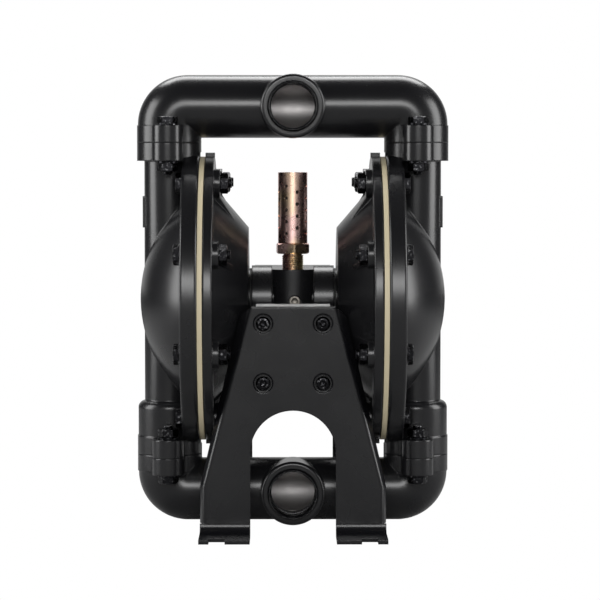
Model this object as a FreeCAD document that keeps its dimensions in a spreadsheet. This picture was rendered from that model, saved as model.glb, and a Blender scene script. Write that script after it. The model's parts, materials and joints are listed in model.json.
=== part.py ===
import FreeCAD, Part
import math
import os
from types import SimpleNamespace

import PartDesign
import Sketcher
from FreeCAD import Rotation, Vector

# Air operated double diaphragm pump, sizes in millimetres.
# The floor is Z = 0, the two ports face -Y and the pump shaft runs along X.

SIZES = [
    ("axis_height", 219.5, "pump shaft above the floor"),
    ("column_offset", 119.0, "upright column centre from the middle"),
    ("split_height", 150.0, "flange joint from the shaft axis"),
    ("manifold_rise", 34.7, "manifold tube centre beyond the flange joint"),
    ("tube_radius", 30.15, "manifold tube outside"),
    ("bore_radius", 23.5, "manifold tube inside"),
    ("elbow_bend", 17.85, "elbow centre line radius"),
    ("hub_radius", 30.6, "port hub outside"),
    ("hub_reach", 44.0, "port face in front of the tube centre"),
    ("port_radius", 22.4, "port thread bore"),
    ("port_depth", 20.0, "port thread depth"),
    ("port_lead", 1.6, "lead chamfer of the port"),
    ("hub_round", 3.0, "rounding of the port hub"),
    ("flange_radius", 31.0, "round part of a manifold flange"),
    ("ear_offset", 42.0, "flange bolt from the column centre"),
    ("ear_radius", 15.0, "flange ear"),
    ("manifold_flange", 16.5, "manifold flange thickness"),
    ("cover_flange", 17.5, "cover flange thickness"),
    ("bolt_radius", 5.0, "M10 bolt"),
    ("bolt_play", 0.5, "bolt hole play on the radius"),
    ("hex_flats", 17.0, "M10 hexagon across flats"),
    ("head_height", 6.4, "M10 bolt head"),
    ("nut_height", 8.0, "M10 nut"),
    ("washer_radius", 10.0, "M10 washer"),
    ("washer_height", 2.0, "M10 washer thickness"),
    ("thread_tail", 3.0, "bolt end beyond its nut"),
    ("guide_reach", 16.0, "ball guide ribs above the joint"),
    ("ball_radius", 19.0, "check ball"),
    ("ball_lift", 9.0, "check ball travel"),
    ("ball_play", 0.6, "ball to guide rib"),
    ("stop_play", 0.15, "lifted ball to its stop"),
    ("rib_width", 4.0, "guide rib width"),
    ("stop_radius", 5.0, "ball stop pin"),
    ("seat_radius", 27.0, "ball seat outside"),
    ("seat_bore", 15.0, "ball seat bore"),
    ("seat_height", 8.0, "ball seat thickness"),
    ("seat_groove", 3.0, "groove of the seat ring"),
    ("ring_section", 1.3, "seat ring section radius"),
    ("loose_fit", 0.1, "radial play of a placed part"),
    ("close_fit", 0.05, "radial play of a running or threaded part"),
    ("soft_gap", 0.3, "room around a moving soft part"),
    ("rim_radius", 138.0, "fluid cover rim"),
    ("rim_inner", 89.0, "fluid cover joint face"),
    ("rim_outer", 105.0, "fluid cover rim outer face"),
    ("rim_round", 2.5, "rim edge rounding"),
    ("dome_base", 93.6, "dome radius at the rim"),
    ("dome_height", 41.8, "dome height over the rim"),
    ("cover_wall", 6.0, "cover wall"),
    ("column_radius", 24.0, "fluid column outside"),
    ("column_bore", 18.0, "fluid column inside"),
    ("bell_radius", 30.3, "lower ball cage outside"),
    ("bell_bore", 24.3, "lower ball cage inside"),
    ("bell_top", 98.5, "top of the ball cage below the axis"),
    ("bell_round", 7.0, "rounded shoulder of the ball cage"),
    ("pad_low", 68.5, "raised column pad from the axis"),
    ("pad_high", 98.5, "raised column pad top from the axis"),
    ("pad_half", 9.0, "half width of the raised column pad"),
    ("pad_rise", 1.3, "height of the raised column pad"),
    ("bolt_circle", 120.6, "cover bolt circle radius"),
    ("cover_bolts", 8, "bolts of each cover"),
    ("air_rim_radius", 136.5, "air cover rim"),
    ("air_rim_outer", 83.8, "air cover joint face"),
    ("air_rim_inner", 75.0, "air cover rim inner face"),
    ("cone_large", 106.5, "air cover cone at the rim"),
    ("cone_small", 68.5, "air cover cone at its end"),
    ("cone_end", 42.5, "air cover end face"),
    ("air_wall", 6.0, "air cover end wall"),
    ("air_mouth", 100.0, "air cover opening radius"),
    ("lug_radius", 13.0, "bolt lug on the air cover"),
    ("lug_face", 69.0, "inner face of the bolt lugs"),
    ("gusset_width", 6.0, "air cover gusset"),
    ("gusset_top", 133.0, "outer end of the gusset"),
    ("gusset_low", 84.0, "inner end of the gusset"),
    ("gusset_bend", 108.0, "where the gusset starts to slope"),
    ("gusset_step", 1.0, "gusset below the lug face"),
    ("tab_radius", 140.3, "locating tab reach"),
    ("tab_half", 8.0, "half width of the locating tab"),
    ("spigot_radius", 29.0, "air cover spigot"),
    ("spigot_face", 40.9, "air cover spigot face"),
    ("neck_radius", 31.7, "body neck"),
    ("neck_end", 39.4, "body end face"),
    ("neck_start", 20.0, "inner end of the neck"),
    ("core_radius", 16.0, "body between the necks"),
    ("boss_radius", 24.0, "exhaust boss"),
    ("boss_top", 28.3, "top of the exhaust boss over the axis"),
    ("arm_half", 35.0, "half width of the body arms"),
    ("arm_low", 78.0, "underside of the arms below the axis"),
    ("middle_top", 10.0, "top of the middle block below the axis"),
    ("side_half", 42.0, "half depth of the middle block"),
    ("pad_half_width", 40.0, "half width of the bracket pads"),
    ("pad_bottom", 92.0, "bracket pad underside below the axis"),
    ("pad_top", 3.3, "bracket pad top below the axis"),
    ("pad_face", 85.0, "bracket pad face from the middle"),
    ("pad_thick", 12.0, "bracket pad thickness"),
    ("rear_high", 26.5, "top of the rear body over the axis"),
    ("rear_low", 55.5, "foot of the valve face below the axis"),
    ("rear_half", 36.0, "half width of the rear body"),
    ("shaft_radius", 10.0, "pump shaft"),
    ("shaft_end", 68.8, "shaft end from the middle"),
    ("bush_radius", 14.0, "shaft bush outside"),
    ("bush_start", 22.0, "inner end of the shaft bush"),
    ("seal_start", 33.4, "inner end of the shaft seal"),
    ("end_chamfer", 1.0, "chamfer at the rod ends"),
    ("pilot_radius", 4.0, "pilot rod"),
    ("pilot_offset", 22.0, "pilot rod below the shaft"),
    ("pilot_end", 62.0, "pilot rod end from the middle"),
    ("pilot_seal_radius", 6.0, "pilot seal outside"),
    ("pilot_seal_start", 36.4, "inner end of the pilot seal"),
    ("air_way", 4.0, "air passage radius"),
    ("air_way_offset", 22.0, "air passage behind the shaft"),
    ("air_way_reach", 28.0, "air passage from the middle"),
    ("exhaust_way", 5.0, "exhaust passage radius"),
    ("exhaust_rise", 18.0, "exhaust passage over the axis"),
    ("end_screw_circle", 23.0, "air cover screw circle radius"),
    ("small_screw", 3.0, "M6 screw"),
    ("small_head", 5.0, "M6 screw head"),
    ("small_head_height", 6.0, "M6 screw head height"),
    ("small_depth", 16.0, "M6 screw in its casting"),
    ("tip_gap", 1.0, "screw end to the bottom of its hole"),
    ("socket_depth", 3.0, "hexagon socket depth"),
    ("over_cut", 1.0, "how far a cut starts outside a face"),
    ("bead_radius", 136.6, "diaphragm edge"),
    ("membrane", 4.0, "diaphragm thickness"),
    ("roll_outer", 97.0, "outside of the diaphragm roll"),
    ("roll_inner", 68.0, "inside of the diaphragm roll"),
    ("roll_depth", 7.0, "depth of the diaphragm roll"),
    ("inner_plate", 62.0, "air side plate"),
    ("outer_plate", 55.0, "fluid side plate"),
    ("plate_thick", 7.0, "plate thickness at the hub"),
    ("plate_edge", 4.0, "plate thickness at the edge"),
    ("plate_hub", 16.0, "plate hub"),
    ("plate_round", 2.0, "plate edge rounding"),
    ("plate_screw", 6.0, "plate screw"),
    ("plate_screw_depth", 22.0, "plate screw in the shaft"),
    ("plate_head_flats", 19.0, "plate screw across flats"),
    ("plate_head", 7.5, "plate screw head height"),
    ("valve_half", 38.0, "half length of the valve block"),
    ("valve_depth", 44.0, "valve block depth"),
    ("valve_height", 41.0, "half height of the valve block"),
    ("valve_drop", 14.5, "valve block centre below the axis"),
    ("gasket", 1.0, "valve gasket"),
    ("sleeve_radius", 13.0, "valve sleeve outside"),
    ("sleeve_port", 3.0, "valve sleeve port radius"),
    ("sleeve_ports", 4, "ports round the valve sleeve"),
    ("spool_radius", 9.0, "valve spool"),
    ("spool_waist", 5.5, "valve spool waist"),
    ("spool_land", 13.0, "valve spool land"),
    ("spool_travel", 10.0, "valve spool travel"),
    ("spool_back", 21.0, "spool centre behind the gasket"),
    ("cap_thick", 7.0, "valve end cap"),
    ("cap_half", 20.0, "half size of the valve end cap"),
    ("cap_screw_offset", 14.5, "end cap screw from its centre"),
    ("cap_screw", 2.5, "M5 screw"),
    ("cap_screw_head", 4.2, "M5 screw head"),
    ("cap_screw_height", 5.0, "M5 screw head height"),
    ("cap_screw_depth", 10.0, "M5 screw in the block"),
    ("valve_screw_x", 31.0, "valve screw from the middle"),
    ("valve_screw_z", 34.0, "valve screw over the block centre"),
    ("inlet_radius", 10.5, "air inlet thread"),
    ("inlet_boss", 17.0, "air inlet boss"),
    ("inlet_rise", 6.0, "air inlet boss height"),
    ("inlet_depth", 14.0, "air inlet thread depth"),
    ("sheet", 4.0, "bracket sheet"),
    ("bend_inner", 8.0, "bracket bend inside"),
    ("foot_reach", 140.0, "bracket foot front edge"),
    ("leg_inner", 40.2, "bracket leg inner edge"),
    ("leg_outer", 87.6, "bracket leg outer edge"),
    ("leg_shoulder", 46.1, "height where the leg is widest"),
    ("bracket_drop", 4.4, "front bracket top below the axis"),
    ("bracket_top_half", 48.5, "half width of the bracket top"),
    ("bracket_corner", 8.0, "bracket corner cut"),
    ("fold_round", 6.0, "outside rounding of the folded edge"),
    ("rear_bracket_drop", 56.0, "rear bracket top below the axis"),
    ("arch_drop", 141.0, "front arch centre below the axis"),
    ("rear_arch_drop", 129.5, "rear arch centre below the axis"),
    ("lip_depth", 10.0, "folded bracket edge"),
    ("lip_top", 20.0, "folded edge below the bracket top"),
    ("notch_centre", 70.8, "foot slot centre"),
    ("notch_half", 7.5, "half width of the foot slot"),
    ("notch_depth", 15.0, "foot slot depth"),
    ("support_screw", 4.0, "M8 screw"),
    ("support_head", 7.0, "M8 screw head"),
    ("support_head_height", 4.4, "M8 button head height"),
    ("support_screw_depth", 18.0, "M8 screw in the body"),
    ("support_screw_x", 28.0, "bracket screw from the middle"),
    ("support_screw_high", 19.1, "upper bracket screw below the axis"),
    ("support_screw_low", 75.0, "lower bracket screw below the axis"),
    ("dish_radius", 9.5, "recess round a bracket screw"),
    ("dish_depth", 1.0, "depth of that recess"),
    ("nipple_radius", 10.45, "muffler nipple"),
    ("nipple_depth", 14.0, "nipple in the exhaust boss"),
    ("nipple_top", 43.0, "top of the nipple over the axis"),
    ("nipple_way", 6.0, "passage through the nipple"),
    ("muffler_hex", 30.0, "muffler hexagon across flats"),
    ("hex_top", 53.4, "top of the muffler hexagon over the axis"),
    ("muffler_radius", 14.15, "muffler tube"),
    ("muffler_wall", 1.6, "muffler tube wall"),
    ("muffler_top", 121.4, "muffler top over the axis"),
    ("muffler_hole", 1.75, "muffler hole"),
    ("muffler_columns", 8, "muffler hole columns"),
    ("muffler_pitch", 11.6, "muffler hole pitch"),
    ("muffler_first", 12.5, "first hole row below the top"),
    ("muffler_cap", 2.0, "muffler cap"),
    ("cap_inset", 1.0, "muffler cap below the tube top"),
    ("muffler_rows", 5, "holes in one muffler column"),
    ("plug_x", 1.8, "body plug from the middle"),
    ("plug_drop", 1.9, "body plug below the axis"),
    ("plug_radius", 5.3, "body plug"),
    ("plug_depth", 7.0, "body plug length"),
    ("plug_flat", 23.5, "spot face of the body plug"),
]


class Size:
    """A length with the sheet expression that gives it."""

    def __init__(self, text, value):
        self.text = text
        self.value = float(value)

    def __add__(self, other):
        other = as_size(other)
        return Size(f"({self.text} + {other.text})", self.value + other.value)

    def __sub__(self, other):
        other = as_size(other)
        return Size(f"({self.text} - {other.text})", self.value - other.value)

    def __mul__(self, other):
        other = as_size(other)
        return Size(f"({self.text} * {other.text})", self.value * other.value)

    def __truediv__(self, other):
        other = as_size(other)
        return Size(f"({self.text} / {other.text})", self.value / other.value)

    def __neg__(self):
        return Size(f"(0 - {self.text})", -self.value)

    def __radd__(self, other):
        return as_size(other) + self

    def __rsub__(self, other):
        return as_size(other) - self

    def __rmul__(self, other):
        return as_size(other) * self


def as_size(number):
    if isinstance(number, Size):
        return number
    return Size(f"({float(number):.6f})", number)


def root(size):
    return Size(f"sqrt({size.text})", math.sqrt(size.value))


def bind(thing, name, size):
    """Give a property its number and tie it to the sheet."""
    thing.setExpression(name, as_size(size).text)


doc = FreeCAD.newDocument("DiaphragmPump")


def make_sheet():
    sheet = doc.addObject("Spreadsheet::Sheet", "Sizes")
    table = {}
    for row, (alias, number, note) in enumerate(SIZES, start=1):
        sheet.set(f"A{row}", alias)
        sheet.set(f"B{row}", str(number))
        sheet.set(f"C{row}", note)
        sheet.setAlias(f"B{row}", alias)
        table[alias] = Size(f"Sizes.{alias}", number)
    doc.recompute()
    return SimpleNamespace(**table)


dims = make_sheet()
parts = []


def origin_item(body, role):
    return next(item for item in body.Origin.OriginFeatures if item.Role == role)


def new_body(label, base=(0, 0, 0), turn=None):
    """Start a sub-part with its own label and placement."""
    body = doc.addObject("PartDesign::Body", label)
    body.Label = label
    body.AllowCompound = True
    if turn is not None:
        body.Placement = FreeCAD.Placement(Vector(0, 0, 0), turn)
    for axis, size in zip("xyz", base):
        bind(body, f"Placement.Base.{axis}", size)
    parts.append(body)
    return body


def fix_point(sketch, edge, end, point):
    for kind, size in (("DistanceX", point[0]), ("DistanceY", point[1])):
        number = sketch.addConstraint(Sketcher.Constraint(kind, edge, end, as_size(size).value))
        if isinstance(size, Size):
            sketch.setExpression(f"Constraints[{number}]", size.text)


def fix_radius(sketch, edge, size):
    number = sketch.addConstraint(Sketcher.Constraint("Radius", edge, as_size(size).value))
    bind(sketch, f"Constraints[{number}]", size)


def plain(point):
    return Vector(as_size(point[0]).value, as_size(point[1]).value, 0)


def arc_between(start, end, radius, side):
    """Arc from start to end; side 1 keeps its centre left of the way, -1 right."""
    chord = end - start
    middle = (start + end) * 0.5
    rise = math.sqrt(max(radius * radius - (chord.Length / 2) ** 2, 0.0))
    left = Vector(-chord.y, chord.x, 0).normalize()
    centre = middle + left * (rise * side)
    first = math.atan2(start.y - centre.y, start.x - centre.x)
    last = math.atan2(end.y - centre.y, end.x - centre.x)
    circle = Part.Circle(centre, Vector(0, 0, 1), radius)
    if side > 0:
        return Part.ArcOfCircle(circle, first, last)
    return Part.ArcOfCircle(circle, last, first)


def add_loop(sketch, loop):
    """A loop is ("circle", x, y, radius) or corners; a corner with four values ends an arc."""
    if loop[0] == "circle":
        centre = (loop[1], loop[2])
        edge = sketch.addGeometry(
            Part.Circle(plain(centre), Vector(0, 0, 1), as_size(loop[3]).value), False)
        fix_radius(sketch, edge, loop[3])
        fix_point(sketch, edge, 3, centre)
        return
    edges = []
    for number, corner in enumerate(loop):
        start = plain(loop[number - 1])
        end = plain(corner)
        if len(corner) == 4:
            side = corner[3]
            edge = sketch.addGeometry(arc_between(start, end, as_size(corner[2]).value, side), False)
            fix_radius(sketch, edge, corner[2])
            edges.append((edge, 1, 2) if side > 0 else (edge, 2, 1))
        else:
            edge = sketch.addGeometry(Part.LineSegment(start, end), False)
            edges.append((edge, 1, 2))
    for number, (edge, _, last) in enumerate(edges):
        following, first, _ = edges[(number + 1) % len(edges)]
        sketch.addConstraint(Sketcher.Constraint("Coincident", edge, last, following, first))
        fix_point(sketch, edge, last, loop[number])


def new_sketch(body, name, plane, start, loops, axis=None, tilt=0):
    """Sketch on an origin plane; tilt turns it about its own X first."""
    sketch = body.newObject("Sketcher::SketchObject", name + "Sketch")
    sketch.AttachmentSupport = [(origin_item(body, plane), "")]
    sketch.MapMode = "FlatFace"
    if tilt:
        turn = Rotation(Vector(1, 0, 0), tilt)
        way = turn.multVec(Vector(0, 0, 1))
        sketch.AttachmentOffset = FreeCAD.Placement(Vector(0, 0, 0), turn)
        bind(sketch, "AttachmentOffset.Base.y", as_size(start) * way.y)
        bind(sketch, "AttachmentOffset.Base.z", as_size(start) * way.z)
    else:
        bind(sketch, "AttachmentOffset.Base.z", start)
    for loop in loops:
        add_loop(sketch, loop)
    if axis is not None:
        line = sketch.addGeometry(Part.LineSegment(plain(axis[0]), plain(axis[1])), True)
        fix_point(sketch, line, 1, axis[0])
        fix_point(sketch, line, 2, axis[1])
    return sketch


def pad(body, name, plane, start, loops, length, tilt=0):
    """Add material from start along the plane's normal; the XZ plane's normal is -Y."""
    feature = body.newObject("PartDesign::Pad", name)
    feature.Profile = new_sketch(body, name, plane, start, loops, None, tilt)
    bind(feature, "Length", length)
    body.Tip = feature
    return feature


def pocket(body, name, plane, start, loops, length):
    """Take material away from start along the plane's normal."""
    feature = body.newObject("PartDesign::Pocket", name)
    feature.Profile = new_sketch(body, name, plane, start, loops)
    feature.Reversed = True
    bind(feature, "Length", length)
    body.Tip = feature
    return feature


def turned(body, name, plane, loop, axis, cut=False, start=0, angle=360):
    """Turn an outline about a body axis or about its own line."""
    kind = "PartDesign::Groove" if cut else "PartDesign::Revolution"
    own_line = None if isinstance(axis, str) else axis
    feature = body.newObject(kind, name)
    sketch = new_sketch(body, name, plane, start, [loop], own_line)
    feature.Profile = sketch
    if own_line is None:
        feature.ReferenceAxis = (origin_item(body, axis), [""])
    else:
        feature.ReferenceAxis = (sketch, ["Axis0"])
    feature.Angle = angle
    body.Tip = feature
    return feature


def polar(body, name, originals, axis, count):
    feature = body.newObject("PartDesign::PolarPattern", name)
    feature.Originals = originals
    feature.Axis = (origin_item(body, axis), [""])
    feature.Angle = 360
    bind(feature, "Occurrences", count)
    body.Tip = feature
    return feature


def mirrored(body, name, originals, plane):
    feature = body.newObject("PartDesign::Mirrored", name)
    feature.Originals = originals
    feature.MirrorPlane = (origin_item(body, plane), [""])
    body.Tip = feature
    return feature


def circle(x, y, radius):
    return ("circle", x, y, radius)


def box(left, right, low, high):
    return [(left, low), (right, low), (right, high), (left, high)]


def hexagon(x, y, flats, first=30):
    reach = flats / math.sqrt(3)
    corners = []
    for step in range(6):
        angle = math.radians(first + 60 * step)
        corners.append((x + reach * math.cos(angle), y + reach * math.sin(angle)))
    return corners


def around(radius, degrees):
    """Point on a circle about X, counted from the top, as Y and Z."""
    angle = math.radians(degrees)
    return (radius * math.sin(angle), radius * math.cos(angle))


HALF_TURN = Rotation(Vector(0, 0, 1), 180)
BOLT_START = 22.5
HOLE_START = -31
HEX_START = -88
SIDES = (("right", None, 1), ("left", HALF_TURN, -1))


def ear_plate(body, name, start, length):
    """Two bolt flange: round middle and two straight sided ears with round ends."""
    x = dims.column_offset
    side = dims.ear_radius
    return [
        pad(body, name + "Round", "XY_Plane", start, [circle(x, 0, dims.flange_radius)], length),
        pad(body, name + "Bar", "XY_Plane", start,
            [box(x - side, x + side, -dims.ear_offset, dims.ear_offset)], length),
        pad(body, name + "Ears", "XY_Plane", start,
            [circle(x, dims.ear_offset, side), circle(x, -dims.ear_offset, side)], length),
    ]


def ear_holes(body, name, start, length):
    hole = dims.bolt_radius + dims.bolt_play
    x = dims.column_offset
    loops = [circle(x, dims.ear_offset, hole), circle(x, -dims.ear_offset, hole)]
    return pocket(body, name, "XY_Plane", start, loops, length)


def elbow(body, name, radius, cut):
    """Quarter turn of the part of a tube section outside the elbow's pivot line."""
    half = root(radius * radius - dims.elbow_bend * dims.elbow_bend)
    pivot = -dims.elbow_bend
    loop = [(half, pivot), (0, radius, radius, 1), (-half, pivot, radius, 1)]
    line = ((-half, pivot), (half, pivot))
    return turned(body, name, "YZ_Plane", loop, line, cut=cut,
                  start=dims.column_offset - dims.elbow_bend, angle=90)


def manifold(label, upper):
    turn = None if upper else Rotation(Vector(0, 1, 0), 180)
    side = 1 if upper else -1
    height = dims.axis_height + side * (dims.split_height + dims.manifold_rise)
    body = new_body(label, (0, 0, height), turn)
    straight = dims.column_offset - dims.elbow_bend
    split = -dims.manifold_rise
    x = dims.column_offset
    pad(body, "Tube", "YZ_Plane", -straight, [circle(0, 0, dims.tube_radius)], straight * 2)
    grown = [elbow(body, "Elbow", dims.tube_radius, False)]
    grown.append(pad(body, "Leg", "XY_Plane", split, [circle(x, 0, dims.tube_radius)],
                     dims.manifold_rise - dims.elbow_bend))
    grown += ear_plate(body, "Flange", split, dims.manifold_flange)
    mirrored(body, "OtherEnd", grown, "YZ_Plane")
    lip = dims.hub_radius - dims.hub_round
    turned(body, "Hub", "XY_Plane",
           [(0, 0), (dims.hub_radius, 0), (dims.hub_radius, dims.hub_round - dims.hub_reach),
            (lip, -dims.hub_reach, dims.hub_round, -1), (0, -dims.hub_reach)], "Y_Axis")
    thread = dims.hub_reach - dims.port_depth
    mouth = dims.port_radius + dims.port_lead
    over = dims.hub_reach + dims.port_lead
    inlet = dims.port_radius - dims.port_lead
    turned(body, "PortBore", "XY_Plane",
           [(0, 0), (inlet, 0), (inlet, -thread), (dims.port_radius, -thread),
            (dims.port_radius, dims.port_lead - dims.hub_reach), (mouth, -dims.hub_reach),
             (mouth, -over), (0, -over)],
           "Y_Axis", cut=True)
    pocket(body, "TubeBore", "YZ_Plane", -straight, [circle(0, 0, dims.bore_radius)], straight * 2)
    inner = [elbow(body, "ElbowBore", dims.bore_radius, True)]
    inner.append(pocket(body, "LegBore", "XY_Plane", split, [circle(x, 0, dims.bore_radius)],
                        dims.manifold_rise - dims.elbow_bend))
    if not upper:
        inner.append(pocket(body, "SeatRecess", "XY_Plane", split,
                            [circle(x, 0, dims.seat_radius + dims.loose_fit)], dims.seat_height))
    inner.append(ear_holes(body, "BoltHoles", split, dims.manifold_flange))
    mirrored(body, "OtherBores", inner, "YZ_Plane")
    if upper:
        half = dims.rib_width / 2
        near = dims.ball_radius + dims.ball_play
        far = dims.bore_radius + half
        ribs = pad(body, "GuideRibs", "XY_Plane", split + dims.rib_width,
                   [box(x + near, x + far, -half, half), box(x - far, x - near, -half, half),
                    box(x - half, x + half, near, far), box(x - half, x + half, -far, -near)],
                   dims.guide_reach - dims.rib_width)
        rest = root(dims.ball_radius * dims.ball_radius - dims.seat_bore * dims.seat_bore)
        stop = split + rest + dims.ball_lift + dims.ball_radius + dims.stop_play
        pin = pad(body, "BallStop", "XY_Plane", stop, [circle(x, 0, dims.stop_radius)],
                  dims.bore_radius - dims.rib_width / 2 - stop)
        mirrored(body, "OtherGuides", [ribs, pin], "YZ_Plane")


def fluid_cover(label, turn):
    body = new_body(label, (0, 0, dims.axis_height), turn)
    x = dims.column_offset
    r = dims.rim_round
    rim = dims.rim_radius
    apex = dims.rim_outer + dims.dome_height
    round_bell = dims.bell_round
    dome = (dims.dome_base * dims.dome_base + dims.dome_height * dims.dome_height) / (2 * dims.dome_height)
    turned(body, "Shell", "XZ_Plane",
           [(dims.rim_inner, 0), (apex, 0), (dims.rim_outer, dims.dome_base, dome, 1),
            (dims.rim_outer, rim - r), (dims.rim_outer - r, rim, r, 1),
            (dims.rim_inner + r, rim), (dims.rim_inner, rim - r, r, 1)], "X_Axis")
    pad(body, "Column", "XY_Plane", -dims.bell_top, [circle(x, 0, dims.column_radius)],
        dims.bell_top + dims.split_height)
    turned(body, "Bell", "XZ_Plane",
           [(x, -dims.split_height), (x + dims.bell_radius, -dims.split_height),
            (x + dims.bell_radius, -dims.bell_top - round_bell),
            (x + dims.bell_radius - round_bell, -dims.bell_top, round_bell, 1), (x, -dims.bell_top)],
           ((x, -dims.split_height), (x, dims.split_height)))
    ear_plate(body, "TopFlange", dims.split_height - dims.cover_flange, dims.cover_flange)
    ear_plate(body, "LowFlange", -dims.split_height, dims.cover_flange)
    relief = dims.rim_outer - dims.rim_inner
    pocket(body, "JointRelief", "YZ_Plane", dims.rim_inner - relief,
           [circle(0, 0, dims.tab_radius + dims.bolt_play)], relief)
    pad(body, "ColumnPad", "YZ_Plane", x, [box(-dims.pad_half, dims.pad_half, dims.pad_low, dims.pad_high)],
        dims.column_radius + dims.pad_rise)
    inner = dome - dims.cover_wall
    centre = apex - dome
    reach = dims.rim_inner - centre
    mouth = root(inner * inner - reach * reach)
    turned(body, "Chamber", "XZ_Plane",
           [(dims.rim_inner, 0), (centre + inner, 0), (dims.rim_inner, mouth, inner, 1)],
           "X_Axis", cut=True)
    pocket(body, "ColumnBore", "XY_Plane", -dims.bell_top, [circle(x, 0, dims.column_bore)],
           dims.bell_top + dims.split_height)
    pocket(body, "SeatRecess", "XY_Plane", dims.split_height - dims.seat_height,
           [circle(x, 0, dims.seat_radius + dims.loose_fit)], dims.seat_height)
    cage_top = dims.bell_top + dims.bell_round * 2
    turned(body, "BallChamber", "XZ_Plane",
           [(x, -dims.split_height), (x + dims.bell_bore, -dims.split_height),
            (x + dims.bell_bore, -cage_top), (x + dims.column_bore, -dims.bell_top),
            (x, -dims.bell_top)],
           ((x, -dims.split_height), (x, dims.split_height)), cut=True)
    half = dims.rib_width / 2
    near = dims.ball_radius + dims.ball_play
    far = dims.bell_bore + half
    pad(body, "GuideRibs", "XY_Plane", dims.rib_width - dims.split_height,
        [box(x + near, x + far, -half, half), box(x - far, x - near, -half, half),
         box(x - half, x + half, near, far), box(x - half, x + half, -far, -near)],
        dims.split_height - cage_top - dims.rib_width)
    rest = root(dims.ball_radius * dims.ball_radius - dims.seat_bore * dims.seat_bore)
    stop = rest + dims.ball_lift + dims.ball_radius + dims.stop_play - dims.split_height
    bar = dims.column_bore + half
    pad(body, "BallStop", "XY_Plane", stop, [box(x - bar, x + bar, -half, half)], dims.rib_width * 2)
    ear_holes(body, "TopHoles", dims.split_height - dims.cover_flange, dims.cover_flange)
    ear_holes(body, "LowHoles", -dims.split_height, dims.cover_flange)
    place = around(dims.bolt_circle, BOLT_START)
    hole = pocket(body, "BoltHole", "YZ_Plane", dims.rim_inner,
                  [circle(place[0], place[1], dims.bolt_radius + dims.bolt_play)],
                  dims.rim_outer - dims.rim_inner)
    polar(body, "BoltHoles", [hole], "X_Axis", dims.cover_bolts)


def air_cover(label, turn):
    body = new_body(label, (0, 0, dims.axis_height), turn)
    rim = dims.air_rim_radius
    r = dims.rim_round / 2
    turned(body, "Shell", "XZ_Plane",
           [(dims.spigot_face, 0), (dims.air_rim_outer, 0), (dims.air_rim_outer, rim - r),
            (dims.air_rim_outer - r, rim, r, 1), (dims.air_rim_inner + r, rim),
            (dims.air_rim_inner, rim - r, r, 1), (dims.air_rim_inner, dims.cone_large),
            (dims.cone_end, dims.cone_small), (dims.cone_end, dims.spigot_radius),
            (dims.spigot_face, dims.spigot_radius)], "X_Axis")
    place = around(dims.bolt_circle, BOLT_START)
    lug = pad(body, "Lug", "YZ_Plane", dims.lug_face, [circle(place[0], place[1], dims.lug_radius)],
              dims.air_rim_outer - dims.lug_face - r)
    polar(body, "Lugs", [lug], "X_Axis", dims.cover_bolts)
    slope = (dims.air_rim_inner - dims.cone_end) / (dims.cone_large - dims.cone_small)
    foot = dims.cone_end + (dims.gusset_low - dims.cone_small) * slope
    rib = [(foot, dims.gusset_low), (foot + dims.air_wall / 2, dims.gusset_low),
           (dims.air_rim_inner + r, dims.cone_large), (dims.air_rim_inner + r, dims.gusset_top),
           (dims.lug_face + dims.gusset_step, dims.gusset_top),
            (dims.lug_face + dims.gusset_step, dims.gusset_bend)]
    gusset = pad(body, "Gusset", "XZ_Plane", -dims.gusset_width / 2, [rib], dims.gusset_width, BOLT_START)
    polar(body, "Gussets", [gusset], "X_Axis", dims.cover_bolts)
    tab = pad(body, "Tab", "YZ_Plane", dims.air_rim_inner,
              [box(-dims.tab_half, dims.tab_half, rim - dims.air_wall, dims.tab_radius)],
              dims.air_rim_outer - dims.air_rim_inner)
    mirrored(body, "Tabs", [tab], "XY_Plane")
    end = dims.cone_end + dims.air_wall
    drop = dims.air_wall * root(1 + slope * slope) / slope
    floor = dims.cone_small - drop + dims.air_wall / slope
    shoulder = dims.cone_end + (dims.air_mouth - dims.cone_small + drop) * slope
    turned(body, "Chamber", "XZ_Plane",
           [(end, 0), (dims.air_rim_outer, 0), (dims.air_rim_outer, dims.air_mouth),
            (shoulder, dims.air_mouth), (end, floor)], "X_Axis", cut=True)
    hole = pocket(body, "BoltHole", "YZ_Plane", dims.lug_face,
                  [circle(place[0], place[1], dims.bolt_radius + dims.bolt_play)],
                  dims.air_rim_outer - dims.lug_face)
    polar(body, "BoltHoles", [hole], "X_Axis", dims.cover_bolts)
    pocket(body, "ShaftHole", "YZ_Plane", dims.spigot_face,
           [circle(0, 0, dims.shaft_radius + dims.soft_gap * 2)], end - dims.spigot_face)
    pocket(body, "AirWays", "YZ_Plane", dims.spigot_face,
           [circle(dims.air_way_offset, 0, dims.air_way), circle(-dims.air_way_offset, 0, dims.air_way)],
           end - dims.spigot_face)
    pocket(body, "PilotHole", "YZ_Plane", dims.spigot_face,
           [circle(0, -dims.pilot_offset, dims.pilot_radius + dims.soft_gap)], end - dims.spigot_face)
    spot = around(dims.end_screw_circle, 45)
    screws = [circle(spot[0] * a, spot[1] * b, dims.small_screw + dims.soft_gap)
              for a in (1, -1) for b in (1, -1)]
    pocket(body, "ScrewHoles", "YZ_Plane", dims.spigot_face, screws, end - dims.spigot_face)


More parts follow.
